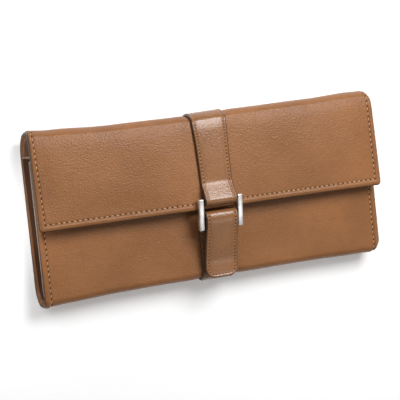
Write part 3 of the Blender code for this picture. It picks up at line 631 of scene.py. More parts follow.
def rounded_outline(x0, x1, y0, y1, radius):
    """Corner points of a rectangle with round corners, anticlockwise."""
    points = []
    for cx, cy, start in ((x1, y1, 0), (x0, y1, 1), (x0, y0, 2), (x1, y0, 3)):
        cx = cx - radius if cx == x1 else cx + radius
        cy = cy - radius if cy == y1 else cy + radius
        for step in range(CORNER_STEPS + 1):
            turn = QUARTER * (start + step / CORNER_STEPS)
            points.append((cx + radius * math.cos(turn), cy + radius * math.sin(turn)))
    return points


def tube_faces(rings, sides):
    """Faces between rings of points, and over both ends."""
    faces = []
    for ring in range(rings - 1):
        for side in range(sides):
            a, b = ring * sides + side, ring * sides + (side + 1) % sides
            faces.append((a, b, b + sides, a + sides))
    faces.append(tuple(range(sides))[::-1])
    faces.append(tuple((rings - 1) * sides + side for side in range(sides)))
    return faces


def ring_points(profile, sides):
    """Rings of points about Z from (radius, height) pairs."""
    turns = np.linspace(0, TURN, sides, endpoint=False)
    return np.array([(r * math.cos(t), r * math.sin(t), h) for r, h in profile for t in turns])


def spun(profile, sides):
    """Points and faces of a round body about Z from (radius, height) pairs, closed at both ends."""
    return ring_points(profile, sides), tube_faces(len(profile), sides)


def placed(body, matrix):
    points, faces = body
    turned = np.array(matrix.to_3x3())
    return points @ turned.T + np.array(matrix.translation), faces


def flipped(body):
    points, faces = body
    return points, [face[::-1] for face in faces]


def moved(body, *place):
    return placed(body, Matrix.Translation(place))


STITCH_PITCH = 0.0035
STRAP_PITCH = 0.0023
STITCH_LENGTH = 0.0022
STITCH_RADIUS = 0.00034
STITCH_SUNK = 0.00012
STITCH_SLANT = math.radians(7)
STITCH_RINGS = ((-0.82, 0.62), (-0.45, 0.95), (0.0, 1.0), (0.45, 0.95), (0.82, 0.62))
STITCH_SIDES = 6
STITCH_ENDS = 0.55
STITCH_BOW = 0.35
SIDE_ROW_DEPTH = 0.00014
STRAP_ROW_DEPTH = 0.00008
HOLE_RADIUS = 0.00062
HOLE_SQUASH = 0.8
HOLE_DEPTH = 0.00016
ROW_POINTS = 60


def stitch_shape():
    """A thread's points as (along, across, up) and its faces."""
    points = [(-1.0, 0.0, -STITCH_ENDS)]
    for along, thick in STITCH_RINGS:
        for side in range(STITCH_SIDES):
            turn = TURN * side / STITCH_SIDES
            up = thick * math.sin(turn) - STITCH_BOW * along * along
            points.append((along, thick * math.cos(turn), up))
    points.append((1.0, 0.0, -STITCH_ENDS))
    faces, last = [], len(points) - 1
    for side in range(STITCH_SIDES):
        after = (side + 1) % STITCH_SIDES
        faces.append((0, 1 + after, 1 + side))
        faces.append((last, last - STITCH_SIDES + side, last - STITCH_SIDES + after))
        for ring in range(len(STITCH_RINGS) - 1):
            a, b = 1 + ring * STITCH_SIDES, 1 + (ring + 1) * STITCH_SIDES
            faces.append((a + side, a + after, b + after, b + side))
    return np.array(points), faces


def hole_shape():
    """A needle hole's shade: a flat lens as (along, across, up)."""
    turns = [TURN * side / STITCH_SIDES for side in range(STITCH_SIDES)]
    points = [(0.0, 0.0, 1.0)] + [(math.cos(t), math.sin(t), 0.0) for t in turns] + [(0.0, 0.0, -1.0)]
    faces = []
    for side in range(STITCH_SIDES):
        after = (side + 1) % STITCH_SIDES
        faces += [(0, 1 + side, 1 + after), (STITCH_SIDES + 1, 1 + after, 1 + side)]
    return np.array(points), faces


def sewn(name, walk, rows, height, material, shape=None, pitch=STITCH_PITCH, up=1.0, sunk=0.0):
    """Threads and needle holes along rows of (x, distance) points, at a height over the walk.

    The threads of a row can be pulled in below the height of its holes: sunk is one value for
    all rows, or one for each.
    """
    hole, thread = hole_shape(), stitch_shape()
    if up > 0:
        hole, thread = flipped(hole), flipped(thread)
    scale = pitch / STITCH_PITCH
    hole_size = HOLE_RADIUS * scale**0.2
    points, faces, marks, count = [], [], [], 0
    for row, pulled_in in zip(rows, np.broadcast_to(sunk, len(rows))):
        row = np.array(row, float)
        gone = np.concatenate([[0.0], np.cumsum(np.hypot(*np.diff(row, axis=0).T))])
        number = max(1, round(gone[-1] / pitch))
        pace = gone[-1] / number
        for place in range(2 * number + 1):
            along = place * pace / 2
            spots = (along, min(along + pace / 2, gone[-1]), max(along - pace / 2, 0.0))
            middle, ahead, behind = ([np.interp(v, gone, row[:, i]) for i in (0, 1)] for v in spots)
            turn = math.atan2(ahead[1] - behind[1], ahead[0] - behind[0])
            is_hole = place % 2 == 0
            if is_hole:
                template, own_faces = hole
                size, drop = (hole_size, hole_size * HOLE_SQUASH, HOLE_DEPTH), 0.0
            else:
                template, own_faces = thread
                thick = STITCH_RADIUS * scale
                size, drop = (STITCH_LENGTH / 2 * pace / STITCH_PITCH, thick, thick), pulled_in
                turn += STITCH_SLANT
            a, b, n = (template * size).T
            x = middle[0] + a * math.cos(turn) - b * math.sin(turn)
            distance = middle[1] + a * math.sin(turn) + b * math.cos(turn)
            y, z, _ = walk.at(distance, height + up * n - drop)
            points.append(np.stack([x, y, z], -1))
            faces += [tuple(count + corner for corner in face) for face in own_faces]
            marks += [float(is_hole)] * len(template)
            count += len(template)
    points = np.concatenate(points)
    laid = points if shape is None else shape(points)
    return new_piece(name, (laid, faces), material, points, None, marks)


def u_row(left, side, end, radius, steps):
    """A row of stitches down the left, round two corners and up the right again."""
    arc = np.linspace(0, QUARTER, steps)[1:]
    left = left + [(radius - side - radius * math.cos(t), end - radius + radius * math.sin(t)) for t in arc]
    return left + [(-x, v) for x, v in reversed(left)]


# Finishes

# Where the edges darken: partly burnished dye, partly painted shade of the rounded edge
EDGE_DYE_AND_SHADE = (0.0012, 0.0001)
CLOTH_PITCH = 0.0006
BAND_SCALE = 0.314


class Wire:
    """A socket that takes part in sums: an expression on values adds its Math nodes."""

    def __init__(self, finish, socket):
        self.finish, self.socket = finish, socket

    def _math(self, operation, *values):
        return self.finish.node("ShaderNodeMath", {"operation": operation}, dict(enumerate(values)))

    def __add__(self, other):
        return self._math("ADD", self, other)

    def __sub__(self, other):
        return self._math("SUBTRACT", self, other)

    def __rsub__(self, other):
        return self._math("SUBTRACT", other, self)

    def __mul__(self, other):
        return self._math("MULTIPLY", self, other)

    __radd__ = __add__
    __rmul__ = __mul__

    def size(self):
        """The value without its sign."""
        return self._math("ABSOLUTE", self)

    def between(self, low, high):
        """0 at low and 1 at high, eased."""
        return self.finish.node(
            "ShaderNodeMapRange", {"interpolation_type": "SMOOTHSTEP"},
            {"Value": self, "From Min": low, "From Max": high},
        )


class Finish:
    """A material under construction."""

    def __init__(self, name):
        self.material = bpy.data.materials.new(name)
        self.material.use_nodes = True
        self.tree = self.material.node_tree
        self.tree.nodes.clear()

    def node(self, kind, settings=None, sockets=None, out=0):
        """Adds a node of this kind, sets it up, then fills or links its sockets."""
        made = self.tree.nodes.new(kind)
        for key, value in (settings or {}).items():
            setattr(made, key, value)
        for key, value in (sockets or {}).items():
            if isinstance(value, Wire):
                self.tree.links.new(value.socket, made.inputs[key])
            elif value is not None:
                made.inputs[key].default_value = value
        return Wire(self, made.outputs[out]) if len(made.outputs) else made

    def hide(self):
        """Where each point lay on the flat material."""
        return self.node("ShaderNodeAttribute", {"attribute_name": "hide"}, out=1)

    def value(self, name):
        return self.node("ShaderNodeAttribute", {"attribute_name": name}, out=2)

    def stretched(self, vector, scale):
        return self.node("ShaderNodeVectorMath", {"operation": "MULTIPLY"}, {0: vector, 1: scale})

    def noise(self, vector, scale, detail=3.0, roughness=0.55, distortion=0.0):
        sockets = {"Vector": vector, "Scale": scale, "Detail": detail, "Roughness": roughness}
        return self.node("ShaderNodeTexNoise", None, {**sockets, "Distortion": distortion})

    def cells(self, vector, scale, feature="SMOOTH_F1"):
        return self.node("ShaderNodeTexVoronoi", {"feature": feature}, {"Vector": vector, "Scale": scale})

    def mixed(self, factor, first, second):
        """One colour over another. A plain colour is three numbers."""
        first, second = (tone if isinstance(tone, Wire) else (*tone, 1.0) for tone in (first, second))
        return self.node("ShaderNodeMix", {"data_type": "RGBA"}, {0: factor, 6: first, 7: second}, out=2)

    def bumped(self, height, strength, distance, under=None):
        """A normal with this height on it, over another normal if given."""
        sockets = {"Height": height, "Strength": strength, "Distance": distance, "Normal": under}
        return self.node("ShaderNodeBump", None, sockets)

    def surface(self, colour, roughness, normal, **more):
        """Ends the material in one Principled shader. More sockets are named with _ for a space."""
        sockets = {"Base Color": colour, "Roughness": roughness, "Normal": normal}
        sockets.update({key.replace("_", " "): value for key, value in more.items()})
        shader = self.node("ShaderNodeBsdfPrincipled", None, sockets)
        self.node("ShaderNodeOutputMaterial", None, {"Surface": shader})
        return self.material


def toned(tone, amount):
    """A colour made lighter or darker by a factor."""
    return tuple(min(1.0, channel * amount) for channel in tone)


def leather_finish(name, tone, rough=0.40, grain=1.0, gloss=0.36):
    """Smooth tan leather: pebbled grain, soft wrinkles with painted shade in them, uneven dye, painted
    shade along the row of stitches, and edges darkened partly by burnished dye and partly by painted shade.
    """
    finish = Finish(name)
    hide, edge = finish.hide(), finish.value("edge")
    clouds = finish.noise(hide, 26.0, 1.0, 0.4)
    mottle = finish.noise(hide, 160.0, 4.0, 0.65)
    pores = finish.noise(hide, 900.0, 3.0, 0.6)
    pebbles = finish.cells(hide, 1150.0)
    creases = finish.noise(finish.stretched(hide, (70.0, 170.0, 1.0)), 1.0, 3.0, 0.55, 0.5)
    lines = (creases - 0.5).size().between(0.045, 0.0)
    wear = finish.noise(hide, 420.0, 5.0, 0.7)
    base = finish.mixed(clouds.between(0.3, 0.7), toned(tone, 0.90), toned(tone, 1.09))
    base = finish.mixed(mottle.between(0.42, 0.78) * 0.45, base, toned(tone, 0.78))
    # Darker along the creases: painted shade in their grooves.
    base = finish.mixed(lines * 0.08, base, toned(tone, 0.66))
    base = finish.mixed(pores.between(0.58, 0.76) * 0.26, base, toned(tone, 1.20))
    # Darker towards every edge, unevenly: partly burnished edge dye, partly painted shade of the rounded
    # edge.
    edge_dye_and_shade = edge.between(*EDGE_DYE_AND_SHADE) * (wear * 0.4 + 0.75)
    base = finish.mixed(edge_dye_and_shade, base, toned(tone, 0.11))
    # A darker line along the shell's row of stitches: painted shade of the groove the stitches sit in.
    row = (edge - STITCH_INSET).size().between(0.0010, 0.0002)
    base = finish.mixed(row * 0.30, base, toned(tone, 0.66))
    shine = (clouds - 0.5) * 0.12 + (pores - 0.5) * 0.16 + (wear - 0.5) * 0.10 + rough + edge_dye_and_shade * -0.06
    soft = finish.bumped(clouds, 0.20, 0.0016)
    soft = finish.bumped(creases, 0.07 * grain, 0.0009, soft)
    soft = finish.bumped(lines, 0.05 * grain, -0.00018, soft)
    normal = finish.bumped(pebbles + pores * 0.5, 0.80 * grain, 0.00030, soft)
    return finish.surface(base, shine, normal, Specular_IOR_Level=gloss)


def suede_finish(name, tone, nap=700.0):
    """Short nap: brushed patches, a rough face and a soft rim of light."""
    finish = Finish(name)
    hide = finish.hide()
    brushed = finish.noise(finish.stretched(hide, (70.0, 28.0, 40.0)), 1.0, 5.0, 0.6, 0.6)
    fibres = finish.noise(hide, nap, 6.0, 0.75)
    dots = finish.cells(hide, nap * 1.7)
    base = finish.mixed(brushed.between(0.3, 0.7), toned(tone, 0.78), toned(tone, 1.20))
    base = finish.mixed(fibres.between(0.40, 0.72) * 0.5, base, toned(tone, 1.45))
    normal = finish.bumped(fibres + dots * 0.5, 0.55, 0.00035, finish.bumped(brushed, 0.25, 0.0012))
    return finish.surface(
        base, fibres * 0.10 + 0.86, normal, Sheen_Weight=0.35, Sheen_Roughness=0.45, Specular_IOR_Level=0.2
    )


def cloth_finish(name, tone):
    """Plain weave: threads over and under."""
    finish = Finish(name)
    hide = finish.hide()
    warp, weft = (
        finish.node(
            "ShaderNodeTexWave", {"wave_type": "BANDS", "bands_direction": way},
            {"Vector": hide, "Scale": BAND_SCALE / CLOTH_PITCH, "Distortion": 0.6, "Detail Scale": 90.0},
        )
        for way in "XY"
    )
    slubs = finish.noise(finish.stretched(hide, (300.0, 60.0, 60.0)), 1.0, 4.0, 0.6)
    weave = warp * weft + (1.0 - warp) * (1.0 - weft)
    # Darker where a thread dips under the other: painted shade between the threads.
    base = finish.mixed(weave, toned(tone, 0.72), toned(tone, 1.18))
    base = finish.mixed(slubs.between(0.45, 0.75) * 0.5, base, toned(tone, 1.35))
    rough = slubs * 0.15 + 0.78
    normal = finish.bumped(weave, 0.5, 0.0002)
    return finish.surface(base, rough, normal, Sheen_Weight=0.15, Specular_IOR_Level=0.3)


def thread_finish(name, tone, hole):
    """Waxed thread with its twist, and the shade of the needle holes."""
    finish = Finish(name)
    hide, part = finish.hide(), finish.value("part")
    twist = finish.noise(finish.stretched(hide, (2200.0, 2200.0, 2200.0)), 1.0, 2.0, 0.5)
    age = finish.noise(hide, 60.0, 3.0, 0.6)
    base = finish.mixed(age.between(0.3, 0.7), toned(tone, 0.80), toned(tone, 1.18))
    # Darker where the twist sinks: painted shade in its grooves.
    base = finish.mixed(twist.between(0.55, 0.45) * 0.45, base, toned(tone, 0.55))
    base = finish.mixed(part, base, hole)
    rough = part * 0.40 + twist * 0.15 + 0.45
    return finish.surface(base, rough, finish.bumped(twist, 0.5, 0.0001), Specular_IOR_Level=0.12)


def metal_finish(name, tone, rough=0.34, brush=(60.0, 1500.0, 1500.0)):
    """Brushed metal: fine lines along the piece, small dents, dull patches, and painted shade where part is
    1, on the rungs inside the leather loops.
    """
    finish = Finish(name)
    hide = finish.hide()
    lines = finish.noise(finish.stretched(hide, brush), 1.0, 4.0, 0.7)
    haze = finish.noise(hide, 220.0, 4.0, 0.6)
    nicks = finish.cells(hide, 700.0, "F1").between(0.08, 0.0)
    base = finish.mixed(haze.between(0.35, 0.75), toned(tone, 1.06), toned(tone, 0.86))
    base = finish.mixed(lines.between(0.50, 0.85) * 0.25, base, toned(tone, 0.80))
    # Painted shade on the rungs, which sit in the shade of the leather loops: nearly black and rough.
    painted_rung_shade = finish.value("part")
    base = finish.mixed(painted_rung_shade, base, toned(tone, 0.06))
    shine = (lines - 0.5) * 0.16 + (haze - 0.5) * 0.14 + nicks * 0.2 + painted_rung_shade * 0.4 + rough
    normal = finish.bumped(lines, 0.16, 0.00006, finish.bumped(nicks, 0.3, -0.00005))
    return finish.surface(base, shine, normal, Metallic=1.0)


def board_finish(name, tone):
    """Pressed fibre board."""
    finish = Finish(name)
    place = finish.node("ShaderNodeTexCoord", out=3)
    fibres = finish.noise(finish.stretched(place, (240.0, 900.0, 900.0)), 1.0, 5.0, 0.7)
    specks = finish.cells(place, 900.0)
    base = finish.mixed(fibres.between(0.35, 0.7), toned(tone, 0.78), toned(tone, 1.15))
    return finish.surface(base, fibres * 0.2 + 0.75, finish.bumped(fibres + specks * 0.4, 0.4, 0.0002))


def magnet_finish(name, tone):
    """Dull nickel plate on a pressed magnet."""
    finish = Finish(name)
    hide = finish.hide()
    grain = finish.noise(hide, 1800.0, 4.0, 0.65)
    haze = finish.noise(hide, 300.0, 3.0, 0.6)
    base = finish.mixed(haze.between(0.3, 0.7), toned(tone, 0.80), toned(tone, 1.05))
    rough = haze * 0.2 + grain * 0.15 + 0.25
    return finish.surface(base, rough, finish.bumped(grain, 0.2, 0.00005), Metallic=1.0)


def gusset_finish(name, tone, hem):
    """Dark thin leather, its dark tone partly its own and partly painted shade, with a pale raw edge at its
    hem whose colour is partly its own and partly a painted highlight along the front's edge.
    """
    finish = Finish(name)
    hide, part = finish.hide(), finish.value("part")
    clouds = finish.noise(hide, 60.0, 4.0, 0.6)
    pores = finish.noise(hide, 900.0, 4.0, 0.6)
    pebbles = finish.cells(hide, 1100.0)
    base = finish.mixed(clouds.between(0.3, 0.7), toned(tone, 0.82), toned(tone, 1.22))
    base = finish.mixed(pores.between(0.55, 0.75) * 0.35, base, toned(tone, 1.5))
    # Pale hem: partly the raw edge's own colour, partly a painted highlight.
    base = finish.mixed(part * (pores * 0.4 + 0.8), base, hem)
    normal = finish.bumped(pebbles * 0.6 + pores, 0.45, 0.00028)
    return finish.surface(base, pores * 0.2 + 0.42, normal)


FINISHES = {}


def finishes(context):
    """Every material, made once."""
    if not FINISHES:
        look = context.scene.case_look
        FINISHES.update(
            shell=leather_finish("shell_leather", look.tan),
            strap=leather_finish("strap_leather", look.strap, 0.29, 0.40, 0.62),
            suede=suede_finish("lining_suede", look.suede),
            velvet=suede_finish("roll_velvet", look.velvet, 1500.0),
            cloth=cloth_finish("pocket_cloth", look.cloth),
            thread=thread_finish("stitch_thread", look.thread, look.needle),
            steel=metal_finish("link_steel", look.steel),
            brass=metal_finish("zip_brass", look.brass, 0.30, (900.0, 900.0, 900.0)),
            board=board_finish("stiff_board", look.board),
            magnet=magnet_finish("magnet_steel", look.steel),
            gusset=gusset_finish("gusset_leather", look.gusset, look.hem),
        )
    return FINISHES


# Pieces

# Each fold's two bodies and the places where its bend begins and ends. The shell carries these along, but
# nothing here bends a piece with them.
BOTTOM_BLEND = ("front", "back", (0.0, 0.0, 0.0148), (0.0, 0.0, 0.0060))
SPINE_BLEND = ("back", "spine", (0.0, 0.0377, 0.0027), (0.0, 0.0563, 0.0202))
FLAP_BLEND = ("spine", "flap", (0.0, 0.0578, 0.0200), (0.0, 0.0506, 0.0289))

SHELL_STEP = 0.0034
SHELL_CLEAR = 0.0005
COLUMNS_CLEAR = 0.002
TURNED_EASE = 0.0006
NEARER_SHARES = (0.0, 1.0, 0.78, 0.0)
BEAD_HEIGHT = 0.00060
BEAD_PRESSED = 0.7
BEAD_MIDDLE, BEAD_REACH = 0.56, 0.46
FOLD_EASE = 0.006
LYING_MORE = 0.002
GROOVE_DEPTH = 0.00030
GROOVE_HALF = 0.00055
WAVE_HEIGHT = 0.00016
WAVE_EDGE_START, WAVE_EDGE_REACH = 0.001, 0.012
WAVE_STRAP_START, WAVE_STRAP_REACH = 0.012, 0.010
PUFF_EDGE = 0.014
PUFF_STRAP_START, PUFF_STRAP_REACH = 0.011, 0.020


def side_inset(shell, marks, distance, x):
    """From the side of the leather to its row of stitches: nearer at the top fold."""
    places = (marks["spine"], marks["split"], marks["flap"], marks["edge"])
    nearer = np.interp(distance, places, NEARER_SHARES)
    return shell.stitch_inset - nearer * np.where(x < 0, shell.nearer_left, shell.nearer_right)


def low_waves(x, distance):
    """Two long ripples that cross each other, as in leather over soft padding."""
    wave = np.sin(x * 96.0 + 1.3 * np.sin(distance * 61.0)) * np.sin(distance * 118.0 + x * 23.0 + 0.6)
    return wave + 0.7 * np.sin(x * 41.0 + 2.0) * np.sin(distance * 70.0 + 1.0)


def relief(shell, marks, x, distance, edge):
    """Height of the leather's face: bead over the turned edge, groove under the stitches, padding, waves.

    The bead is pressed flat over the top fold, and nothing stands out where the case lies.
    """
    row = side_inset(shell, marks, distance, x)
    folded = within(distance, marks["split"], marks["shoulder"], FOLD_EASE)
    bead = np.cos(np.clip((edge - row * BEAD_MIDDLE) / (row * BEAD_REACH), -1, 1) * QUARTER) ** 2
    groove = GROOVE_DEPTH * np.exp(-(((edge - row) / GROOVE_HALF) ** 2))
    field = eased((edge - row - WAVE_EDGE_START) / WAVE_EDGE_REACH)
    field = field * eased((np.abs(x) - WAVE_STRAP_START) / WAVE_STRAP_REACH)
    down = np.clip((distance - marks["shoulder"]) / (marks["edge"] - marks["shoulder"]), 0.0, 1.0)
    padding = shell.puff * np.sin(math.pi * down**0.75) * eased((edge - row) / PUFF_EDGE)
    padding = padding * eased((np.abs(x) - PUFF_STRAP_START) / PUFF_STRAP_REACH)
    height = BEAD_HEIGHT * (1.0 - BEAD_PRESSED * folded) * bead - groove
    height = height + WAVE_HEIGHT * field * low_waves(x, distance) + padding
    lying = within(distance, marks["back"] - LYING_MORE, marks["spine"] + LYING_MORE, FOLD_EASE)
    return np.where(height > 0.0, height * (1.0 - lying), height)


def shell_sheet(shell, walk, start, end, turned, corners):
    """A length of the outer leather."""
    half, row = shell.half_width, shell.stitch_inset
    sides = np.array([SIDE_COLUMNS - half, half - SIDE_COLUMNS])
    columns = columns_across(half, row + COLUMNS_CLEAR, SHELL_STEP, None, sides)
    clear = row + ROW_CLEAR + SHELL_CLEAR
    lines = turned_lines(walk.lines(start, end, SHELL_STEP), start, end, turned, clear, row)

    def low(x, distance, edge):
        return -shell.turned_level * eased((shell.turned_width - edge) / TURNED_EASE + 0.5)

    def high(x, distance, edge):
        return shell.leather + relief(shell, walk.marks, x, distance, edge)

    return Sheet(walk, lines, columns, half, low, high, turned, corners)


def side_rows(shell, marks, start, end):
    """Rows of stitches along both sides."""
    places = np.linspace(start, end, ROW_POINTS)
    rows = []
    for side in (-1, 1):
        insets = side_inset(shell, marks, places, side)
        rows.append([(side * (shell.half_width - inset), place) for place, inset in zip(places, insets)])
    return rows


def across_row(half, distance):
    """A row of stitches from side to side."""
    return [[(-half, distance), (half, distance)]]


class CASE_OT_shell(bpy.types.Operator):
    """Outer leather in three lengths, each bending at its own fold, with its stitches"""

    bl_idname = "jewelry_case.shell"
    bl_label = "Shell leather"

    def execute(self, context):
        shell, finish = context.scene.case_shell, finishes(context)
        walk = case_walk(shell)
        row, marks = shell.stitch_inset, walk.marks
        middle, split, edge = marks["middle"], marks["split"], marks["edge"]
        plans = (
            ("front_leather", 0.0, middle, (True, False), (shell.front_corner, 0.0), BOTTOM_BLEND),
            ("back_leather", middle, split, (False, False), (0.0, 0.0), SPINE_BLEND),
            ("flap_leather", split, edge, (False, True), (0.0, shell.flap_corner), FLAP_BLEND),
        )
        nodes = {
            "front_leather": ("front_panel",),
            "back_leather": ("back_panel",),
            "flap_leather": ("spine_panel", "flap_panel"),
        }
        outside, lay = shell.leather - GROOVE_DEPTH + STITCH_SUNK, settled(shell)
        for name, start, end, turned, corners, bend in plans:
            sheet = shell_sheet(shell, walk, start, end, turned, corners)
            piece = sheet.build(name, finish["shell"], lay)
            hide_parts(*nodes[name])
            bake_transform(piece)
            first = start + row if turned[0] else start
            last = end - row if turned[1] else end
            rows = side_rows(shell, marks, first, last)
            sunk = [SIDE_ROW_DEPTH] * len(rows)
            for is_turned, place in zip(turned, (first, last)):
                if is_turned:
                    rows += across_row(shell.half_width - row, place)
                    sunk.append(0.0)
            stitches = name.replace("leather", "stitches")
            thread = sewn(stitches, walk, rows, outside, finish["thread"], lay, sunk=sunk)
            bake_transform(thread)
        return {"FINISHED"}


STRAP_BEAD = 0.00022
STRAP_BEAD_MIDDLE, STRAP_BEAD_REACH = 0.0012, 0.0011
STRAP_GROOVE, STRAP_GROOVE_HALF = 0.00022, 0.00045
STRAP_PUFF, STRAP_PUFF_REACH = 0.00012, 0.004
SKIVED = 0.0004
OVER_SKIVED, BASE_SKIVED, TAB_SKIVED = (0.003, 0.0048), (0, 0.004), (0.004, 0)
BASE_CORNER = 0.0015
NARROWING_START, NARROWING_END = -0.004, 0.010
STRAP_END_NARROWER, BASE_WIDENING = 0.0004, 0.0006
ROWS_BELOW_SHOULDER = 0.0020
TAB_SHIFT_REACH = 0.020
TAB_WIDENING_START, TAB_ROW_START = 0.004, 0.0004
TAB_BACK_START, TAB_BACK_NARROWER, TAB_BACK_LOWER = 0.0035, 0.0002, 0.00005
STRAP_START_TURN = math.radians(36)
BASE_END_TURN = math.radians(58)
LOOP_TAIL_TURN = math.radians(-12)
TAB_TAIL = 0.006
STRAP_TAIL = 0.0095

# Each magnet's strap and body, and where its plate's two ends lie from the ends of its CAD box
MAGNETS = (("tab", "tab", -0.0012, -0.0038), ("base", "front", 0.0028, 0.0010))
MAGNET_CORNER = 0.0016
MAGNET_THINNER = 0.00018


def half_widths(*places):
    """Half the strap's width along its walk, from (distance, width) pairs."""
    distances, widths = zip(*places)
    return lambda distance: np.interp(distance, distances, np.array(widths) / 2)


def strap_sheet(walk, half, strap, turned, corners, skived):
    """The strap's leather along a walk, thinned towards an end over a skived length."""
    row, thickness = strap.stitch_inset, strap.thickness
    columns = columns_across(float(half(0.0)), row + COLUMNS_CLEAR, 0.0024, row)
    lines = walk.lines(0.0, walk.length, 0.0022, math.radians(9.0))
    lines = turned_lines(lines, 0.0, walk.length, turned, row + ROW_CLEAR, row)

    def high(x, distance, edge):
        bead = np.cos(np.clip((edge - STRAP_BEAD_MIDDLE) / STRAP_BEAD_REACH, -1, 1) * QUARTER) ** 2
        groove = STRAP_GROOVE * np.exp(-(((edge - row) / STRAP_GROOVE_HALF) ** 2))
        puff = STRAP_PUFF * eased((edge - row) / STRAP_PUFF_REACH)
        thin = np.zeros(distance.shape)
        for reach, inset in zip(skived, (distance, walk.length - distance)):
            if reach:
                thin = np.maximum(thin, eased((reach - inset) / reach))
        full = thickness / 2 + STRAP_BEAD * bead - groove + puff
        return full * (1 - thin) + (SKIVED - thickness / 2) * thin

    return Sheet(walk, lines, columns, half, -thickness / 2, high, turned, corners)


def over_walk(shell, strap, case):
    """The middle of the strap from the spine over the top fold, round the upper rung and back under."""
    rise = shell.leather + strap.clearance + strap.thickness / 2
    walk = case.beside(case.marks["spine"] + shell.spine_radius * STRAP_START_TURN, rise)
    walk.turn(QUARTER - STRAP_START_TURN, shell.spine_radius + rise)
    walk.straight(2 * (case.marks["split"] - case.marks["spine"] - shell.spine_radius * QUARTER))
    fold_over(walk, shell, rise)
    walk.straight((walk.y - strap.lift_y) / math.cos(shell.flap_rise)).mark("lift")
    side = (math.sin(walk.heading), -math.cos(walk.heading))
    lift = (walk.y + strap.lift_radius * side[0], walk.z + strap.lift_radius * side[1])
    rising = heading_between(lift, -strap.lift_radius, UPPER_RUNG, strap.loop_radius)
    walk.turn((rising - walk.heading + HALF_TURN) % TURN - HALF_TURN, strap.lift_radius)
    meet_y = UPPER_RUNG[0] + strap.loop_radius * math.sin(walk.heading)
    walk.straight((meet_y - walk.y) / math.cos(walk.heading)).mark("loop")
    walk.turn((TURN - shell.flap_rise - walk.heading) % TURN, strap.loop_radius)
    return walk.straight(STRAP_TAIL)


def tab_walk(strap):
    """The middle of the tab's leather from under the lower rung, over it and down to the free end."""
    bend = (
        strap.tab_end_y + strap.tab_flat,
        strap.tab_height - strap.thickness / 2 + strap.tab_bend_radius,
    )
    crest = HALF_TURN - strap.crown_lean
    inward = strap.loop_radius - strap.crown_radius
    crown = (LOWER_RUNG[0] + inward * math.sin(crest), LOWER_RUNG[1] - inward * math.cos(crest))
    falling = heading_between(crown, strap.crown_radius, bend, -strap.tab_bend_radius) % TURN
    begin = LOOP_TAIL_TURN
    walk = Walk(
        LOWER_RUNG[0] + strap.loop_radius * math.sin(begin) - TAB_TAIL * math.cos(begin),
        LOWER_RUNG[1] - strap.loop_radius * math.cos(begin) - TAB_TAIL * math.sin(begin),
        begin,
    )
    walk.straight(TAB_TAIL)
    walk.turn(crest - begin, strap.loop_radius).mark("crest")
    walk.turn(falling - crest, strap.crown_radius).mark("loop")
    meet_y = bend[0] - strap.tab_bend_radius * math.sin(falling)
    walk.straight((meet_y - walk.y) / math.cos(falling))
    walk.turn(HALF_TURN - falling, strap.tab_bend_radius)
    return walk.straight(strap.tab_flat)


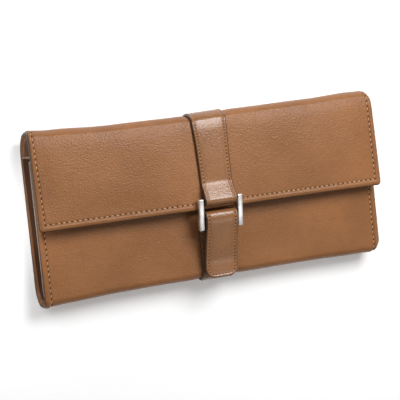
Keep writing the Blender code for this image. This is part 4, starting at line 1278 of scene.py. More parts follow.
class CASE_OT_straps(bpy.types.Operator):
    """Strap over the top fold, base strap round the bottom fold and the tab, with their stitches"""

    bl_idname = "jewelry_case.straps"
    bl_label = "Straps and tab"

    def execute(self, context):
        scene = context.scene
        shell, strap, finish = scene.case_shell, scene.case_strap, finishes(context)
        self.over(shell, strap, finish)
        self.base(shell, strap, finish)
        self.tab(strap, finish)
        self.magnets(finish)
        return {"FINISHED"}

    def rows(self, half, places, strap, cross):
        """Rows of stitches along both sides of a strap, and one across it."""
        inset = strap.stitch_inset
        sides = [[(side * (float(half(place)) - inset), place) for place in places] for side in (-1, 1)]
        return sides + across_row(strap.width_sewn / 2 - inset, cross)

    def over(self, shell, strap, finish):
        """The strap over the top fold, down the flap and round the upper rung."""
        walk = over_walk(shell, strap, case_walk(shell))
        marks = walk.marks
        half = half_widths(
            (0.0, strap.width_top),
            (marks["flap"] + NARROWING_START, strap.width_top),
            (marks["flap"] + NARROWING_END, strap.width_flap),
            (marks["lift"], strap.width_sewn),
            (marks["loop"], strap.width_link),
            (walk.length, strap.width_link - STRAP_END_NARROWER),
        )

        lay = settled(shell, skew=False)
        sheet = strap_sheet(walk, half, strap, (False, False), (0, 0), OVER_SKIVED)
        over = sheet.build("strap_over", finish["strap"], lay)
        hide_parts("spine_strap", "flap_strap")
        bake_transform(over)
        top, cross = strap.thickness / 2 - STITCH_SUNK, marks["lift"]
        places = np.linspace(marks["shoulder"] + ROWS_BELOW_SHOULDER, cross, ROW_POINTS)
        rows = self.rows(half, places, strap, cross)
        thread = sewn(
            "strap_stitches", walk, rows, top, finish["thread"], lay, STRAP_PITCH, sunk=STRAP_ROW_DEPTH
        )
        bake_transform(thread)

    def base(self, shell, strap, finish):
        """The base strap on the front and round the bottom fold."""
        case = case_walk(shell)
        rise = shell.leather + strap.clearance + strap.thickness / 2
        start = case.marks["mouth"] + shell.mouth_y - BASE_HIGH.y
        walk = case.beside(start, rise)
        walk.straight(case.marks["fold"] - start)
        walk.turn(QUARTER, shell.front_radius + rise)
        bottom_z = float(case.at(case.marks["bottom"])[1])
        walk.turn(BASE_END_TURN, bottom_z - shell.leather + rise)
        half = half_widths(
            (0.0, strap.width_link - BASE_WIDENING), (walk.length, strap.width_link + BASE_WIDENING)
        )

        def lay(points):
            points = settle(points, shell, skew=False)
            points[..., 0] -= strap.base_shift
            return points

        sheet = strap_sheet(walk, half, strap, (True, False), (BASE_CORNER, 0), BASE_SKIVED)
        base = sheet.build("strap_base", finish["strap"], lay)
        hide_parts("base_strap", "bottom_strap")
        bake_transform(base)
        inset, top = strap.stitch_inset, strap.thickness / 2 - STITCH_SUNK
        places = np.linspace(inset, walk.length - BASE_SKIVED[1], ROW_POINTS)
        rows = self.rows(half, places, strap, inset)
        thread = sewn("base_stitches", walk, rows, top, finish["thread"], lay, STRAP_PITCH)
        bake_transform(thread)

    def tab(self, strap, finish):
        """The tab with its loop round the lower rung, its U of stitches and its back leather."""
        walk = tab_walk(strap)
        marks, inset = walk.marks, strap.stitch_inset
        half = half_widths(
            (0.0, strap.width_link),
            (marks["loop"] + TAB_WIDENING_START, strap.width_link),
            (walk.length, strap.width_tab),
        )

        def lay(points):
            points = np.array(points, float)
            points[..., 0] -= strap.tab_shift * eased((LOWER_RUNG[0] - points[..., 1]) / TAB_SHIFT_REACH)
            return points

        sheet = strap_sheet(walk, half, strap, (False, True), (0, strap.tab_corner), TAB_SKIVED)
        tab = sheet.build("tab_leather", finish["strap"], lay)
        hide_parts("tab_strap")
        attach(tab, "tab")
        turn, end = strap.tab_corner - inset, walk.length - inset
        places = np.linspace(marks["crest"] + TAB_ROW_START, end - turn, 40)
        left = [(inset - float(half(place)), place) for place in places]
        rows = [u_row(left, strap.width_tab / 2 - inset, end, turn, 8)]
        top = strap.thickness / 2 - STITCH_SUNK
        thread = sewn(
            "tab_stitches", walk, rows, top, finish["thread"], lay, STRAP_PITCH, sunk=STRAP_ROW_DEPTH
        )
        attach(thread, "tab")

        width = strap.width_link / 2 - TAB_BACK_NARROWER
        low = BASE_HIGH.z + strap.clearance - TAB_BACK_LOWER - (strap.tab_height - strap.thickness / 2)
        start, end = marks["loop"] + TAB_BACK_START, walk.length - TAB_BACK_NARROWER
        below = Sheet(
            walk,
            joined(walk.lines(start, end, 0.0026)),
            even_lines(-width, width, 0.0016),
            lambda distance: half(distance) - TAB_BACK_NARROWER,
            low,
            -strap.thickness / 2 - 0.00001,
            corners=(0.0005, strap.tab_corner),
        ).build("tab_back", finish["strap"], lay)
        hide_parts("tab_lining")
        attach(below, "tab")

    def magnets(self, finish):
        """Thin plates sewn inside the tab and the base strap."""
        for label, body, first, last in MAGNETS:
            low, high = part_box(label + "_magnet")
            outline = rounded_outline(low.x, high.x, low.y + first, high.y + last, MAGNET_CORNER)
            shape = plate(outline, low.z + MAGNET_THINNER, high.z - MAGNET_THINNER, 0.0002)
            piece = new_piece("magnet_in_" + label, shape, finish["magnet"])
            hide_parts(label + "_magnet")
            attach(piece, body)


class CASE_OT_link(bpy.types.Operator):
    """Metal link of two side bars and two rungs"""

    bl_idname = "jewelry_case.link"
    bl_label = "Link"

    def execute(self, context):
        link, finish = context.scene.case_link, finishes(context)
        upper, lower = Vector((0, *UPPER_RUNG)), Vector((0, *LOWER_RUNG))
        down = (lower - upper).normalized()
        out = Vector((0, -down.z, down.y))
        out = out if out.z > 0 else -out
        turned = Matrix((Vector((1, 0, 0)), down, out)).transposed().to_4x4()
        middle = upper + down * (link.below - link.above) / 2
        size = (link.bar_width, link.below + link.above, link.bar_depth)
        reach = link.outer_half - link.bar_width / 2
        bodies = []
        for side in (-1, 1):
            centre = middle + Vector((side * reach, 0, 0))
            bodies.append(placed(block(size, link.bevel, 3), Matrix.Translation(centre) @ turned))
        on_bars = sum(len(points) for points, _ in bodies)
        across = Matrix.Rotation(QUARTER, 4, "Y")
        profile = [(link.rung_radius, reach * share) for share in (-1, -1 / 3, 1 / 3, 1)]
        for rung in (upper, lower):
            bodies.append(placed(spun(profile, 24), Matrix.Translation(rung) @ across))
        body = merge(*bodies)
        flat = (body[0] - np.array(middle)) @ np.array(turned.to_3x3())
        # The rungs are marked so that the steel paints shade on them.
        on_rungs = np.arange(len(body[0])) >= on_bars
        piece = new_piece("link_bars", body, finish["steel"], flat[:, [1, 0, 2]], None, on_rungs)
        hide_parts("link_frame")
        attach(piece, "link")
        return {"FINISHED"}


# Where the flat back and the fold's lining begin
BACK_START_Y = -0.043
FOLD_LINING_Y = 0.033
LINING_STEP = 0.0040
LINING_CLEAR = 0.0050
WINDOW_STEPS = (-0.0012, 0.0, 0.0012)
WINDOW_CLEAR = 0.0004
WINDOW_SEAM = 0.0022
LINING_CORNERS, BACK_LINING_CORNERS, FLAP_LINING_CORNERS = (0.0030, 0.0006), (0.0006, 0.0), (0.0, 0.002)
SEAM_OUT = 0.00004
LINING_START_TURN = math.radians(45)


def lining_sheet(walk, lines, half, low, high, turned, corners, more=()):
    """A lining along a walk, with rounded edges."""
    columns = columns_across(half, LINING_CLEAR, 0.0045, None, more)
    lines = turned_lines(lines, lines[0], lines[-1], turned, LINING_CLEAR)
    return Sheet(walk, lines, columns, half, low, high, turned, corners)


def refinish(node, material):
    """Gives a shown CAD node a detailed material."""
    kept = frame["nodes"][node]
    kept.data.materials.clear()
    kept.data.materials.append(material)


class CASE_OT_linings(bpy.types.Operator):
    """Suede linings of the pouch, the spine and the flap"""

    bl_idname = "jewelry_case.linings"
    bl_label = "Linings"

    def execute(self, context):
        scene = context.scene
        shell, inside, finish = scene.case_shell, scene.case_inside, finishes(context)
        walk = case_walk(shell)
        marks = walk.marks
        half = shell.half_width - inside.lining_inset
        high = -(shell.turned_level + inside.lining_gap)
        low = high - inside.lining
        back_high = shell.leather - BACK_LINING_Z
        back_low = back_high - inside.lining
        join = marks["spine"] - (shell.spine_start_y - FOLD_LINING_Y)

        lay = settled(shell)

        def passing(first, second):
            reach = marks["split"] - join
            return lambda x, distance, edge: first + (second - first) * eased((distance - join) / reach)

        lines = joined(walk.lines(inside.lining_inset, marks["fold"] + 0.0001, LINING_STEP))
        sheet = lining_sheet(walk, lines, half, low, high, (True, True), LINING_CORNERS)
        piece = sheet.build("pouch_lining_front", finish["suede"], lay)
        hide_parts("front_lining")
        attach(piece, "front")

        zip_place = marks["back"] + inside.zip_y - BACK_START_Y
        window = (zip_place - inside.window_height / 2, zip_place + inside.window_height / 2)
        border = [place + step for place in window for step in WINDOW_STEPS]
        lines = walk.lines(marks["fold"] + shell.front_radius * LINING_START_TURN, join, LINING_STEP)
        lines = [v for v in lines if min(abs(v - place) for place in border) > WINDOW_CLEAR]
        sides = [side * (inside.window_half + step) for side in (-1, 1) for step in WINDOW_STEPS]
        lines = joined(lines, border)
        sheet = lining_sheet(
            walk, lines, half, back_low, back_high, (True, False), BACK_LINING_CORNERS, sides
        )
        across = np.abs(sheet.x[:-1, :-1] + sheet.x[1:, 1:]) / 2 < inside.window_half
        along = (sheet.distance[:-1, :-1] + sheet.distance[1:, 1:]) / 2
        sheet.keep = ~(across & (along > window[0]) & (along < window[1]))
        piece = sheet.build("pouch_lining_back", finish["suede"], lay)
        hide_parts("back_lining")
        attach(piece, "back")

        lines = joined(walk.lines(join, marks["split"], LINING_STEP))
        lowest, highest = passing(back_low, low), passing(back_high, high)
        sheet = lining_sheet(walk, lines, half, lowest, highest, (False, False), (0, 0))
        piece = sheet.build("fold_lining", finish["suede"], lay)
        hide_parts("spine_lining")
        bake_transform(piece)

        lines = joined(walk.lines(marks["split"], marks["edge"] - inside.lining_inset, LINING_STEP))
        sheet = lining_sheet(walk, lines, half, low, high, (False, True), FLAP_LINING_CORNERS)
        piece = sheet.build("flap_lining_suede", finish["suede"], lay)
        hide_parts("flap_lining")
        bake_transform(piece)

        row, reach = shell.stitch_inset, shell.half_width - shell.stitch_inset
        front_rows = across_row(reach, row) + side_rows(shell, marks, row, marks["fold"] - 0.001)
        flap_rows = across_row(reach, marks["edge"] - row)
        flap_rows += side_rows(shell, marks, marks["split"], marks["edge"] - row)
        seams = (
            ("pouch_lining_front_seam", front_rows, low, None),
            ("flap_lining_seam", flap_rows, low, FLAP_BLEND),
            ("zip_window_seam", self.window_rows(inside, zip_place), back_low, None),
        )
        for name, rows, level, bend in seams:
            thread = sewn(name, walk, rows, level - SEAM_OUT, finish["thread"], lay, up=-1.0)
            if bend:
                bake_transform(thread)
            else:
                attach(thread, "front" if "front" in name else "back")
        for name in ("back_board", "flap_board", "front_board"):
            refinish(name, finish["board"])
        return {"FINISHED"}

    def window_rows(self, inside, zip_place):
        """Four rows of stitches round the zip's window."""
        side, rise = inside.window_half + WINDOW_SEAM, inside.window_height / 2 + WINDOW_SEAM
        low, high = zip_place - rise, zip_place + rise
        corners = [(-side, low), (side, low), (side, high), (-side, high)]
        return [[corner, after] for corner, after in zip(corners, corners[1:] + corners[:1])]


GUSSET_INSET = 0.0019
GUSSET_ROUND_RADIUS = 0.0084
GUSSET_ROUND_Z = 0.0130
GUSSET_DEPTH = 0.0118
GUSSET_LEAST = 0.0012
GUSSET_SWELL = 0.0010
GUSSET_STEPS = 33
GUSSET_SLANT, GUSSET_BLUNT = 0.10, 0.8
HEM_INSETS = (0.0002, 0.0005, 0.0009, 0.0013, 0.0016, 0.0022)
HEM_THICKER, HEM_EDGE, HEM_EASE = 0.00018, 0.0016, 0.0005
EDGE_STRIP_HALF = 0.0010
EDGE_STRIP_THICKNESS = 0.00040
EDGE_STRIP_ENDS = (0.0012, 0.002)


def gusset_points(shell, side, y, along, out):
    """Points on the folded gusset: along runs from the front's edge over the inner fold to the back."""
    low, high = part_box("gusset_left" if side < 0 else "gusset_right")
    drop = np.sqrt(np.clip(GUSSET_ROUND_RADIUS**2 - (y - BACK_START_Y) ** 2, 0.0, None))
    floor = np.where(y < BACK_START_Y, GUSSET_ROUND_Z - drop, low.z)
    floor = np.clip(floor, low.z, high.z - GUSSET_LEAST)
    full = (high.z - floor) / (high.z - low.z)
    fold = np.sin(np.clip(along, 0, 1) * math.pi)
    swell = GUSSET_SWELL * np.sin(y * 150.0 + side) * fold * full
    z = high.z + (floor - high.z) * (along - GUSSET_SLANT * np.sin(TURN * along))
    x = shell.half_width - GUSSET_INSET - GUSSET_DEPTH * full**GUSSET_BLUNT * fold**GUSSET_BLUNT + swell
    return x + out * (1.0 - 0.2 * fold), z


class CASE_OT_gussets(bpy.types.Operator):
    """Folded end gussets with their pale hems"""

    bl_idname = "jewelry_case.gussets"
    bl_label = "Gussets"

    def execute(self, context):
        scene = context.scene
        shell, inside, finish = scene.case_shell, scene.case_inside, finishes(context)
        for side, label in ((-1, "left"), (1, "right")):
            low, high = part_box("gusset_" + label)
            high.y += inside.gusset_rise
            rows = joined(even_lines(low.y, high.y, 0.0030), [high.y - inset for inset in HEM_INSETS])
            even = np.linspace(0.0, 1.0, GUSSET_STEPS)
            steps = 0.5 * (1.0 - np.cos(even * math.pi)) / 2 + 0.5 * even
            y, along = np.meshgrid(rows, steps, indexing="ij")
            inset = high.y - y
            thick = inside.gusset_skin / 2 * (0.35 + 0.65 * eased(inset / HEM_EASE))
            thick = thick + HEM_THICKER * eased((HEM_EDGE - inset) / HEM_EASE)
            faces = []
            for out in (1.0, -1.0):
                x, z = gusset_points(shell, side, y, along, out * thick)
                faces.append(np.stack([side * x, y, z], -1))
            outer, inner = faces if side < 0 else faces[::-1]
            points, polygons, used = closed_sheet(inner, outer)
            hem = eased((inside.hem - inset) / 0.0003)
            flat = np.stack([along * 0.03 + side, y, np.zeros(y.shape)], -1).reshape(-1, 3)
            piece = new_piece(
                "gusset_%s_leather" % label, (points, polygons), finish["gusset"],
                np.concatenate([flat, flat + 0.3])[used], None, np.concatenate([hem.ravel()] * 2)[used],
            )
            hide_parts("gusset_" + label)
            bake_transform(piece)
            self.edge_strip(shell, finish, side, label)
        return {"FINISHED"}

    def edge_strip(self, shell, finish, side, label):
        """The gusset's raw edge, sewn in under the front's turned edge: a pale strip whose colour is partly
        the raw edge's own and partly a painted highlight along the front's edge.
        """
        walk = case_walk(shell)
        first, last = EDGE_STRIP_ENDS
        rows = joined(walk.lines(first, walk.marks["fold"] - last, 0.0040))
        columns = np.linspace(-EDGE_STRIP_HALF, EDGE_STRIP_HALF, 7)
        level = -shell.turned_level - 0.0001
        strip = Sheet(walk, rows, columns, EDGE_STRIP_HALF, level - EDGE_STRIP_THICKNESS, level)

        def lay(points):
            points = np.array(points)
            points[..., 0] += side * (shell.half_width - EDGE_STRIP_HALF)
            return settle(points, shell)

        piece = strip.build("gusset_%s_edge" % label, finish["gusset"], lay)
        # The whole strip takes the pale hem colour, partly a painted highlight.
        piece.data.attributes["part"].data.foreach_set("value", [1.0] * len(piece.data.vertices))
        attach(piece, "front")


TOOTH_SIZE = (0.00105, 0.00215)
TOOTH_INSET = 0.0006
TOOTH_OFFSET = 0.00042
TAPE_GAP = 0.00075
STAND = Matrix.Rotation(QUARTER, 4, "X")
EAR_HALF = 0.0013
EAR_THICKNESS = 0.0005
EAR_PLACE = 0.0014
PIN_RADIUS, PIN_HALF = 0.0005, 0.0019
BARREL_INNER, BARREL_OUTER, BARREL_HALF = 0.0008, 0.0013, 0.00072
BARREL_SIDES = 24
TONGUE_HALF = 0.0005
SLOT_START, SLOT_END, SLOT_HALF = 0.0062, 0.0014, 0.00085


class CASE_OT_zip(bpy.types.Operator):
    """Zip with its tapes, teeth, stops, slider and puller, and the pocket's cloth behind it"""

    bl_idname = "jewelry_case.zip"
    bl_label = "Zip pocket"

    def execute(self, context):
        inside, finish = context.scene.case_inside, finishes(context)
        for label, sign in (("lower", -1), ("upper", 1)):
            self.tape(inside, finish, label, sign)
        self.teeth(inside, finish)
        for label in ("left", "right"):
            self.stop(inside, finish, label)
        self.slider(finish)
        self.puller(finish)
        self.bag(finish)
        return {"FINISHED"}

    def tape(self, inside, finish, label, sign):
        """One of the two woven tapes that carry the teeth."""
        low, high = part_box("zip_tape_" + label)
        ends = (inside.zip_y + sign * TAPE_GAP, inside.zip_y + sign * inside.window_height / 2)
        walk = Walk(min(ends), low.z, 0.0).straight(abs(ends[1] - ends[0]))
        rows = even_lines(0.0, walk.length, 0.0008)
        columns = even_lines(-inside.window_half, inside.window_half, 0.0040)

        def under(x, distance, edge):
            return low.z - high.z - 0.00008 * np.sin(x * 260.0)

        tape = Sheet(walk, rows, columns, inside.window_half, under, 0.0)
        piece = tape.build("zip_tape_%s_cloth" % label, finish["cloth"])
        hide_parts("zip_tape_" + label)
        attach(piece, "back")

    def teeth(self, inside, finish):
        """The teeth, which stand in turn on the one tape and the other."""
        low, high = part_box("zip_teeth")
        pace = inside.tooth_pitch / 2
        tooth = block((*TOOTH_SIZE, high.z - low.z - 0.0002), 0.00026, 1)
        middle_z = (low.z + high.z) / 2 + 0.0001
        bodies = []
        for place in range(int((high.x - low.x - 0.001) / pace) + 1):
            y = inside.zip_y + (TOOTH_OFFSET if place % 2 else -TOOTH_OFFSET)
            bodies.append(moved(tooth, low.x + TOOTH_INSET + place * pace, y, middle_z))
        piece = new_piece("zip_teeth_row", merge(*bodies), finish["brass"])
        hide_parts("zip_teeth")
        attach(piece, "back")

    def stop(self, inside, finish, label):
        """The clip at one end of the zip."""
        low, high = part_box("zip_stop_" + label)
        size, middle = high - low, (low + high) / 2
        bar = block((size.x * 0.5, size.y * 0.7, 0.0004), 0.00015, 1)
        bodies = (moved(block(size, 0.0003), *middle), moved(bar, middle.x, inside.zip_y, high.z))
        piece = new_piece("zip_end_%s" % label, merge(*bodies), finish["brass"])
        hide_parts("zip_stop_" + label)
        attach(piece, "back")

    def slider(self, finish):
        """The slider's plate, with two ears that hold the puller's pin."""
        low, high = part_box("zip_slider")
        middle_y = (low.y + high.y) / 2
        pin_x, _, pin_z = PULLER_PIN
        outline = [
            (low.x, middle_y - 0.0021), (low.x + 0.0022, middle_y - 0.0030), (high.x - 0.0030, low.y),
            (high.x - 0.0008, low.y + 0.0003), (high.x, middle_y - 0.0018), (high.x, middle_y + 0.0018),
            (high.x - 0.0008, high.y - 0.0003), (high.x - 0.0030, high.y),
            (low.x + 0.0022, middle_y + 0.0030), (low.x, middle_y + 0.0021),
        ]
        ear = plate(rounded_outline(-EAR_HALF, EAR_HALF, 0.0, high.z - low.z - 0.0007, 0.0008),
                    -EAR_THICKNESS, EAR_THICKNESS, 0.00018)
        bodies = [in_order(plate(outline, low.z, low.z + 0.0010, 0.0003))]
        for side in (-1, 1):
            bodies.append(moved(placed(ear, STAND), pin_x, middle_y + side * EAR_PLACE, low.z + 0.0007))
        pin = spun([(PIN_RADIUS, height) for height in (-PIN_HALF, -0.0006, 0.0006, PIN_HALF)], 16)
        bodies.append(moved(placed(pin, STAND), pin_x, middle_y, pin_z))
        piece = new_piece("zip_slider_body", merge(*bodies), finish["brass"])
        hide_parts("zip_slider")
        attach(piece, "slider")

    def puller(self, finish):
        """The puller: a tongue with a slot, and a barrel round the pin."""
        low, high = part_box("zip_puller")
        pin_x, pin_y, pin_z = PULLER_PIN
        profile = [
            (BARREL_INNER, -BARREL_HALF), (BARREL_OUTER, -BARREL_HALF),
            (BARREL_OUTER, BARREL_HALF), (BARREL_INNER, BARREL_HALF),
        ]
        points = ring_points(profile, BARREL_SIDES)
        faces = []
        for ring in range(len(profile)):
            for side in range(BARREL_SIDES):
                after, next_ring = (side + 1) % BARREL_SIDES, (ring + 1) % len(profile)
                a, b = ring * BARREL_SIDES, next_ring * BARREL_SIDES
                faces.append((a + side, a + after, b + after, b + side))
        barrel = moved(placed((points, faces), STAND), pin_x, pin_y, pin_z)
        width = (high.y - low.y) / 2
        outer = rounded_outline(pin_x + 0.0011, high.x, pin_y - width, pin_y + width, 0.0011)
        slot = (high.x - SLOT_START, high.x - SLOT_END, pin_y - SLOT_HALF, pin_y + SLOT_HALF)
        hole = rounded_outline(*slot, 0.0008)
        tongue = plate(outer, pin_z - TONGUE_HALF, pin_z + TONGUE_HALF, 0.0002, hole)
        piece = new_piece("zip_puller_tongue", merge(barrel, tongue), finish["brass"])
        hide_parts("zip_puller")
        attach(piece, "puller")

    def bag(self, finish):
        """The pocket's cloth behind the window."""
        low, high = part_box("pocket_bag")
        walk = Walk(low.y, low.z, 0.0).straight(high.y - low.y)
        half = high.x
        rows, columns = even_lines(0.0, walk.length, 0.0036), even_lines(-half, half, 0.0040)

        def under(x, distance, edge):
            return low.z - high.z + 0.00010 * np.sin(x * 120.0) * np.sin(distance * 150.0)

        sheet = Sheet(walk, rows, columns, half, under, 0.0, (True, True), (0.004, 0.004))
        piece = sheet.build("pocket_bag_cloth", finish["cloth"])
        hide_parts("pocket_bag")
        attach(piece, "back")


ROLL_SIDES = 40
ROLL_END_STEPS = (0.0, 0.0003, 0.0008, 0.0015, 0.0024)
ROLL_END_REACH = 0.004
BAND_HALF = 0.0006
BAND_BEND = 0.0022
ANCHOR_FALL = math.radians(48)
POCKET_ROW = 0.0024
POCKET_TURN = 0.0030

# The snap's cap and stud: (share of the radius, share of the height), from the bottom up
CAP_PROFILE = (
    ((0.86, 0.0), (1.0, 0.16), (1.0, 0.34)),
    ((0.30, 0.99), (0.22, 0.90), (0.08, 0.88)),
)
STUD_PROFILE = (
    (0.97, 0.0), (1.0, 0.12), (1.0, 0.26), (0.70, 0.36),
    (0.58, 0.55), (0.64, 0.82), (0.55, 0.97), (0.30, 1.0),
)


class CASE_OT_keepers(bpy.types.Operator):
    """Ring roll with its anchor, tab and snap, and the slip pocket on the front"""

    bl_idname = "jewelry_case.keepers"
    bl_label = "Ring roll and slip pocket"

    def execute(self, context):
        finish = finishes(context)
        self.roll(finish)
        self.strips(finish)
        dome = [(math.cos(t) ** 0.6, 0.34 + 0.66 * math.sin(t)) for t in np.linspace(0.3, 1.35, 7)]
        foot, top = CAP_PROFILE
        self.snap("snap_cap_dome", "ring_snap_cap", (*foot, *dome, *top), finish)
        self.snap("snap_stud_turned", "ring_snap_stud", STUD_PROFILE, finish)
        self.slip_pocket(context.scene.case_shell, finish)
        return {"FINISHED"}

    def roll(self, finish):
        """A stuffed velvet tube with pinched ends, low waves and its seam below."""
        low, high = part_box("ring_roll")
        radius, middle = (high.z - low.z) / 2, (low + high) / 2
        long = high.x - low.x
        even = np.linspace(ROLL_END_REACH, long - ROLL_END_REACH, 60)
        places = joined(ROLL_END_STEPS, even, [long - step for step in ROLL_END_STEPS])
        turns = np.linspace(0, TURN, ROLL_SIDES, endpoint=False)
        inset = np.minimum(places, long - places)
        end = 1.0 - 0.42 * (1.0 - np.clip(inset / ROLL_END_STEPS[-1], 0, 1)) ** 2.2
        place, turn = np.meshgrid(places, turns, indexing="ij")
        wave = 0.00016 * np.sin(place * 210.0 + 2.0 * np.sin(turn))
        wave = wave + 0.00012 * np.sin(place * 95.0 + turn * 3.0)
        from_seam = (turn - 3 * QUARTER + HALF_TURN) % TURN - HALF_TURN
        pinch = 0.00035 * np.exp(-((from_seam / 0.16) ** 2))
        girth = radius * end[:, None] * 0.985 + (wave - pinch) * eased(inset / ROLL_END_REACH)[:, None]
        y, z = middle.y + girth * np.cos(turn), middle.z + girth * np.sin(turn)
        points = np.stack([low.x + place, y, z], -1)
        hide = np.stack([place, turn * radius, np.zeros(place.shape)], -1)
        body = flipped((points, tube_faces(len(places), ROLL_SIDES)))
        piece = new_piece("ring_roll_velvet", body, finish["velvet"], hide)
        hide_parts("ring_roll")
        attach(piece, "back")

    def strips(self, finish):
        """The bands at the roll's two ends: each runs from the roll down to the lining."""
        low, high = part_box("ring_roll_anchor")
        roll_low, roll_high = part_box("ring_roll")
        middle_z = (roll_low.z + roll_high.z) / 2
        walk = Walk(roll_low.x + 0.0010, middle_z, HALF_TURN).straight(0.0016).turn(ANCHOR_FALL, BAND_BEND)
        drop = walk.z - (low.z + BAND_HALF) - BAND_BEND * (1 - math.cos(ANCHOR_FALL))
        walk.straight(drop / math.sin(ANCHOR_FALL)).turn(-ANCHOR_FALL, BAND_BEND)
        walk.straight(walk.y - low.x - 0.0020)
        self.strip("ring_anchor_band", "ring_roll_anchor", walk, finish)
        low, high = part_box("ring_roll_tab")
        walk = Walk(high.x, low.z + BAND_HALF, HALF_TURN).straight(0.0078)
        rise = math.acos(max(-1.0, 1.0 - (middle_z - walk.z) / (2 * BAND_BEND)))
        walk.turn(-rise, BAND_BEND).turn(rise, BAND_BEND)
        walk.straight(max(walk.y - roll_high.x + 0.0010, 0.0004))
        self.strip("ring_tab_band", "ring_roll_tab", walk, finish)

    def strip(self, name, node, walk, finish):
        """One band along a walk in the XZ plane."""
        low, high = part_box(node)
        middle_y, half = (low.y + high.y) / 2, (high.y - low.y) / 2
        rows = joined(walk.lines(0.0, walk.length, 0.0012, math.radians(10)))
        columns = even_lines(-half, half, 0.0008)
        sheet = Sheet(walk, rows, columns, half, -BAND_HALF, BAND_HALF, (True, True), (0.0012, 0.0012))

        def turned(points):
            return np.stack([points[..., 1], middle_y - points[..., 0], points[..., 2]], -1)

        piece = sheet.build(name, finish["velvet"], turned)
        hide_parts(node)
        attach(piece, "back")

    def snap(self, name, node, profile, finish):
        """A turned part of the snap, on the middle of its cap."""
        low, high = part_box(node)
        cap_low, cap_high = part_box("ring_snap_cap")
        middle = (cap_low + cap_high) / 2
        radius, tall = (high.x - low.x) / 2, high.z - low.z
        body = spun([(radius * wide, tall * height) for wide, height in profile], 36)
        piece = new_piece(name, moved(body, middle.x, middle.y, low.z), finish["brass"])
        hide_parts(node)
        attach(piece, "back")

    def slip_pocket(self, shell, finish):
        """The slip pocket, which bellies a little between its sewn sides."""
        low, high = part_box("slip_pocket")
        walk = case_walk(shell)
        level = high.z - (shell.front_height - shell.leather)
        thick = high.z - low.z
        start, end = shell.mouth_y - high.y, shell.mouth_y - low.y
        half, middle = (high.x - low.x) / 2, (high.x + low.x) / 2

        def belly(x, distance, edge):
            across = np.cos(np.clip(x / half, -1, 1) * QUARTER)
            return level - thick + 0.00025 * (1 - across * eased((end - distance) / (end - start)))

        lines = joined(walk.lines(start, end, 0.0035))
        sheet = lining_sheet(walk, lines, half, belly, level, (True, True), (0.0010, 0.0040))

        def lay(points):
            points = np.array(points)
            points[..., 0] += middle
            return points

        piece = sheet.build("slip_pocket_suede", finish["suede"], lay)
        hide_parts("slip_pocket")
        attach(piece, "front")
        side, bottom = half - POCKET_ROW, end - POCKET_ROW
        left = [(-side, start + 0.001), (-side, bottom - POCKET_TURN)]
        rows = [u_row(left, side, bottom, POCKET_TURN, 7)] + across_row(side, start + POCKET_ROW)
        face = level - thick - 0.00002
        thread = sewn("slip_pocket_seam", walk, rows, face, finish["thread"], lay, 0.0030, -1.0)
        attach(thread, "front")


# Each lamp: its place, what it looks at, and its width. The camera's rows are right, up and back.
LAMPS = {
    "key": ((0.24, 0.40, 0.62), (0.0, 0.0, 0.02), 0.46),
    "left": ((-0.46, 0.30, 0.56), (0.0, 0.0, 0.0), 0.40),
    "side": ((-0.184, 0.004, 0.026), (-0.182, 0.004, 0.0), 0.11),
    "card": ((0.353, -0.438, 0.828), (0.0, 0.0, 0.0), 0.42),
}
CAMERA_PLACE = (-0.29828, 0.07680, 0.78239)
CAMERA_WAYS = (
    (0.925537, -0.109755, 0.36239),
    (0.136963, 0.989306, -0.050188),
    (-0.353005, 0.096082, 0.930677),
)
FLOOR_TONE = (0.97, 0.97, 0.97, 1.0)
WHITE = (1.0, 1.0, 1.0, 1.0)
FLOOR_REACH, FLOOR_Z = 3.0, -0.0002


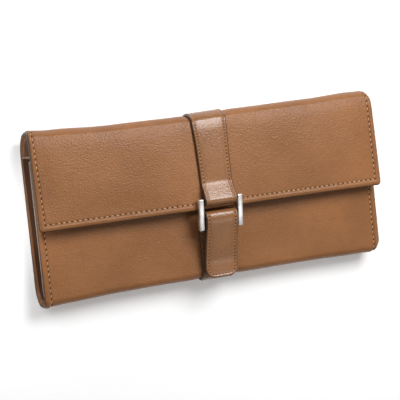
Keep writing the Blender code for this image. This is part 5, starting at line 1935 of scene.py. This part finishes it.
class CASE_OT_stage(bpy.types.Operator):
    """Floor, lights and camera"""

    bl_idname = "jewelry_case.stage"
    bl_label = "Stage"

    def execute(self, context):
        scene, stage = context.scene, context.scene.case_stage
        finish = Finish("stage_floor")
        # Is Camera Ray, Is Glossy Ray and Is Transmission Ray
        by_eye, by_gloss, by_glass = (finish.node("ShaderNodeLightPath", out=out) for out in (0, 3, 6))
        seen = by_eye + by_gloss + by_glass
        sockets = {"Base Color": FLOOR_TONE, "Roughness": 0.9, "Specular IOR Level": 0.0}
        diffuse = finish.node("ShaderNodeBsdfPrincipled", None, sockets)
        glow = finish.node("ShaderNodeEmission", None, {"Color": WHITE, "Strength": seen * stage.glow})
        both = finish.node("ShaderNodeAddShader", None, {0: diffuse, 1: glow})
        finish.node("ShaderNodeOutputMaterial", None, {"Surface": both})
        ways = ((-1, -1), (1, -1), (1, 1), (-1, 1))
        corners = [(x * FLOOR_REACH, y * FLOOR_REACH, FLOOR_Z) for x, y in ways]
        floor = new_piece("stage_floor", (corners, [(0, 1, 2, 3)]), finish.material)
        self.lights(scene, stage)
        self.camera(scene, stage)
        return {"FINISHED"}

    def lights(self, scene, stage):
        """An even world and four round lamps."""
        world = bpy.data.worlds.new("stage_world")
        world.use_nodes = True
        background = world.node_tree.nodes["Background"]
        background.inputs["Color"].default_value = WHITE
        background.inputs["Strength"].default_value = stage.fill
        scene.world = world
        for name, (place, aim, size) in LAMPS.items():
            lamp = bpy.data.lights.new("stage_" + name, "AREA")
            lamp.energy, lamp.shape, lamp.size = getattr(stage, name + "_power"), "DISK", size
            made = bpy.data.objects.new("stage_" + name, lamp)
            scene.collection.objects.link(made)
            made.location = place
            made.rotation_euler = (Vector(place) - Vector(aim)).to_track_quat("Z", "Y").to_euler()

    def camera(self, scene, stage):
        """The camera, rolled as in the picture."""
        data = bpy.data.cameras.new("stage_camera")
        data.lens, data.sensor_width = stage.lens, 36.0
        data.clip_start, data.clip_end = 0.01, 10.0
        camera = bpy.data.objects.new("stage_camera", data)
        scene.collection.objects.link(camera)
        turned = Matrix(CAMERA_WAYS).transposed().to_4x4()
        camera.matrix_world = Matrix.Translation(CAMERA_PLACE) @ turned
        scene.camera = camera
        scene.view_settings.view_transform = "Standard"


class CASE_PT_panel(bpy.types.Panel):
    """Lists the pieces of the case"""

    bl_idname = "CASE_PT_panel"
    bl_label = "Jewelry Case"
    bl_space_type = "VIEW_3D"
    bl_region_type = "UI"
    bl_category = "Jewelry Case"

    def draw(self, context):
        for operator in OPERATORS:
            self.layout.operator(operator.bl_idname)


SETTINGS = (
    ("case_shell", ShellSettings),
    ("case_strap", StrapSettings),
    ("case_link", LinkSettings),
    ("case_inside", InsideSettings),
    ("case_look", LookSettings),
    ("case_stage", StageSettings),
)
OPERATORS = (
    CASE_OT_shell,
    CASE_OT_straps,
    CASE_OT_link,
    CASE_OT_linings,
    CASE_OT_gussets,
    CASE_OT_zip,
    CASE_OT_keepers,
    CASE_OT_stage,
)


def register():
    for name, group in SETTINGS:
        bpy.utils.register_class(group)
        setattr(bpy.types.Scene, name, PointerProperty(type=group))
    for operator in OPERATORS:
        bpy.utils.register_class(operator)
    bpy.utils.register_class(CASE_PT_panel)


def unregister():
    bpy.utils.unregister_class(CASE_PT_panel)
    for operator in reversed(OPERATORS):
        bpy.utils.unregister_class(operator)
    for name, group in reversed(SETTINGS):
        delattr(bpy.types.Scene, name)
        bpy.utils.unregister_class(group)


def main():
    register()
    bpy.ops.jewelry_case.shell()
    bpy.ops.jewelry_case.straps()
    bpy.ops.jewelry_case.link()
    bpy.ops.jewelry_case.linings()
    bpy.ops.jewelry_case.gussets()
    bpy.ops.jewelry_case.zip()
    bpy.ops.jewelry_case.keepers()
    bpy.ops.jewelry_case.stage()


if __name__ == "__main__":
    main()
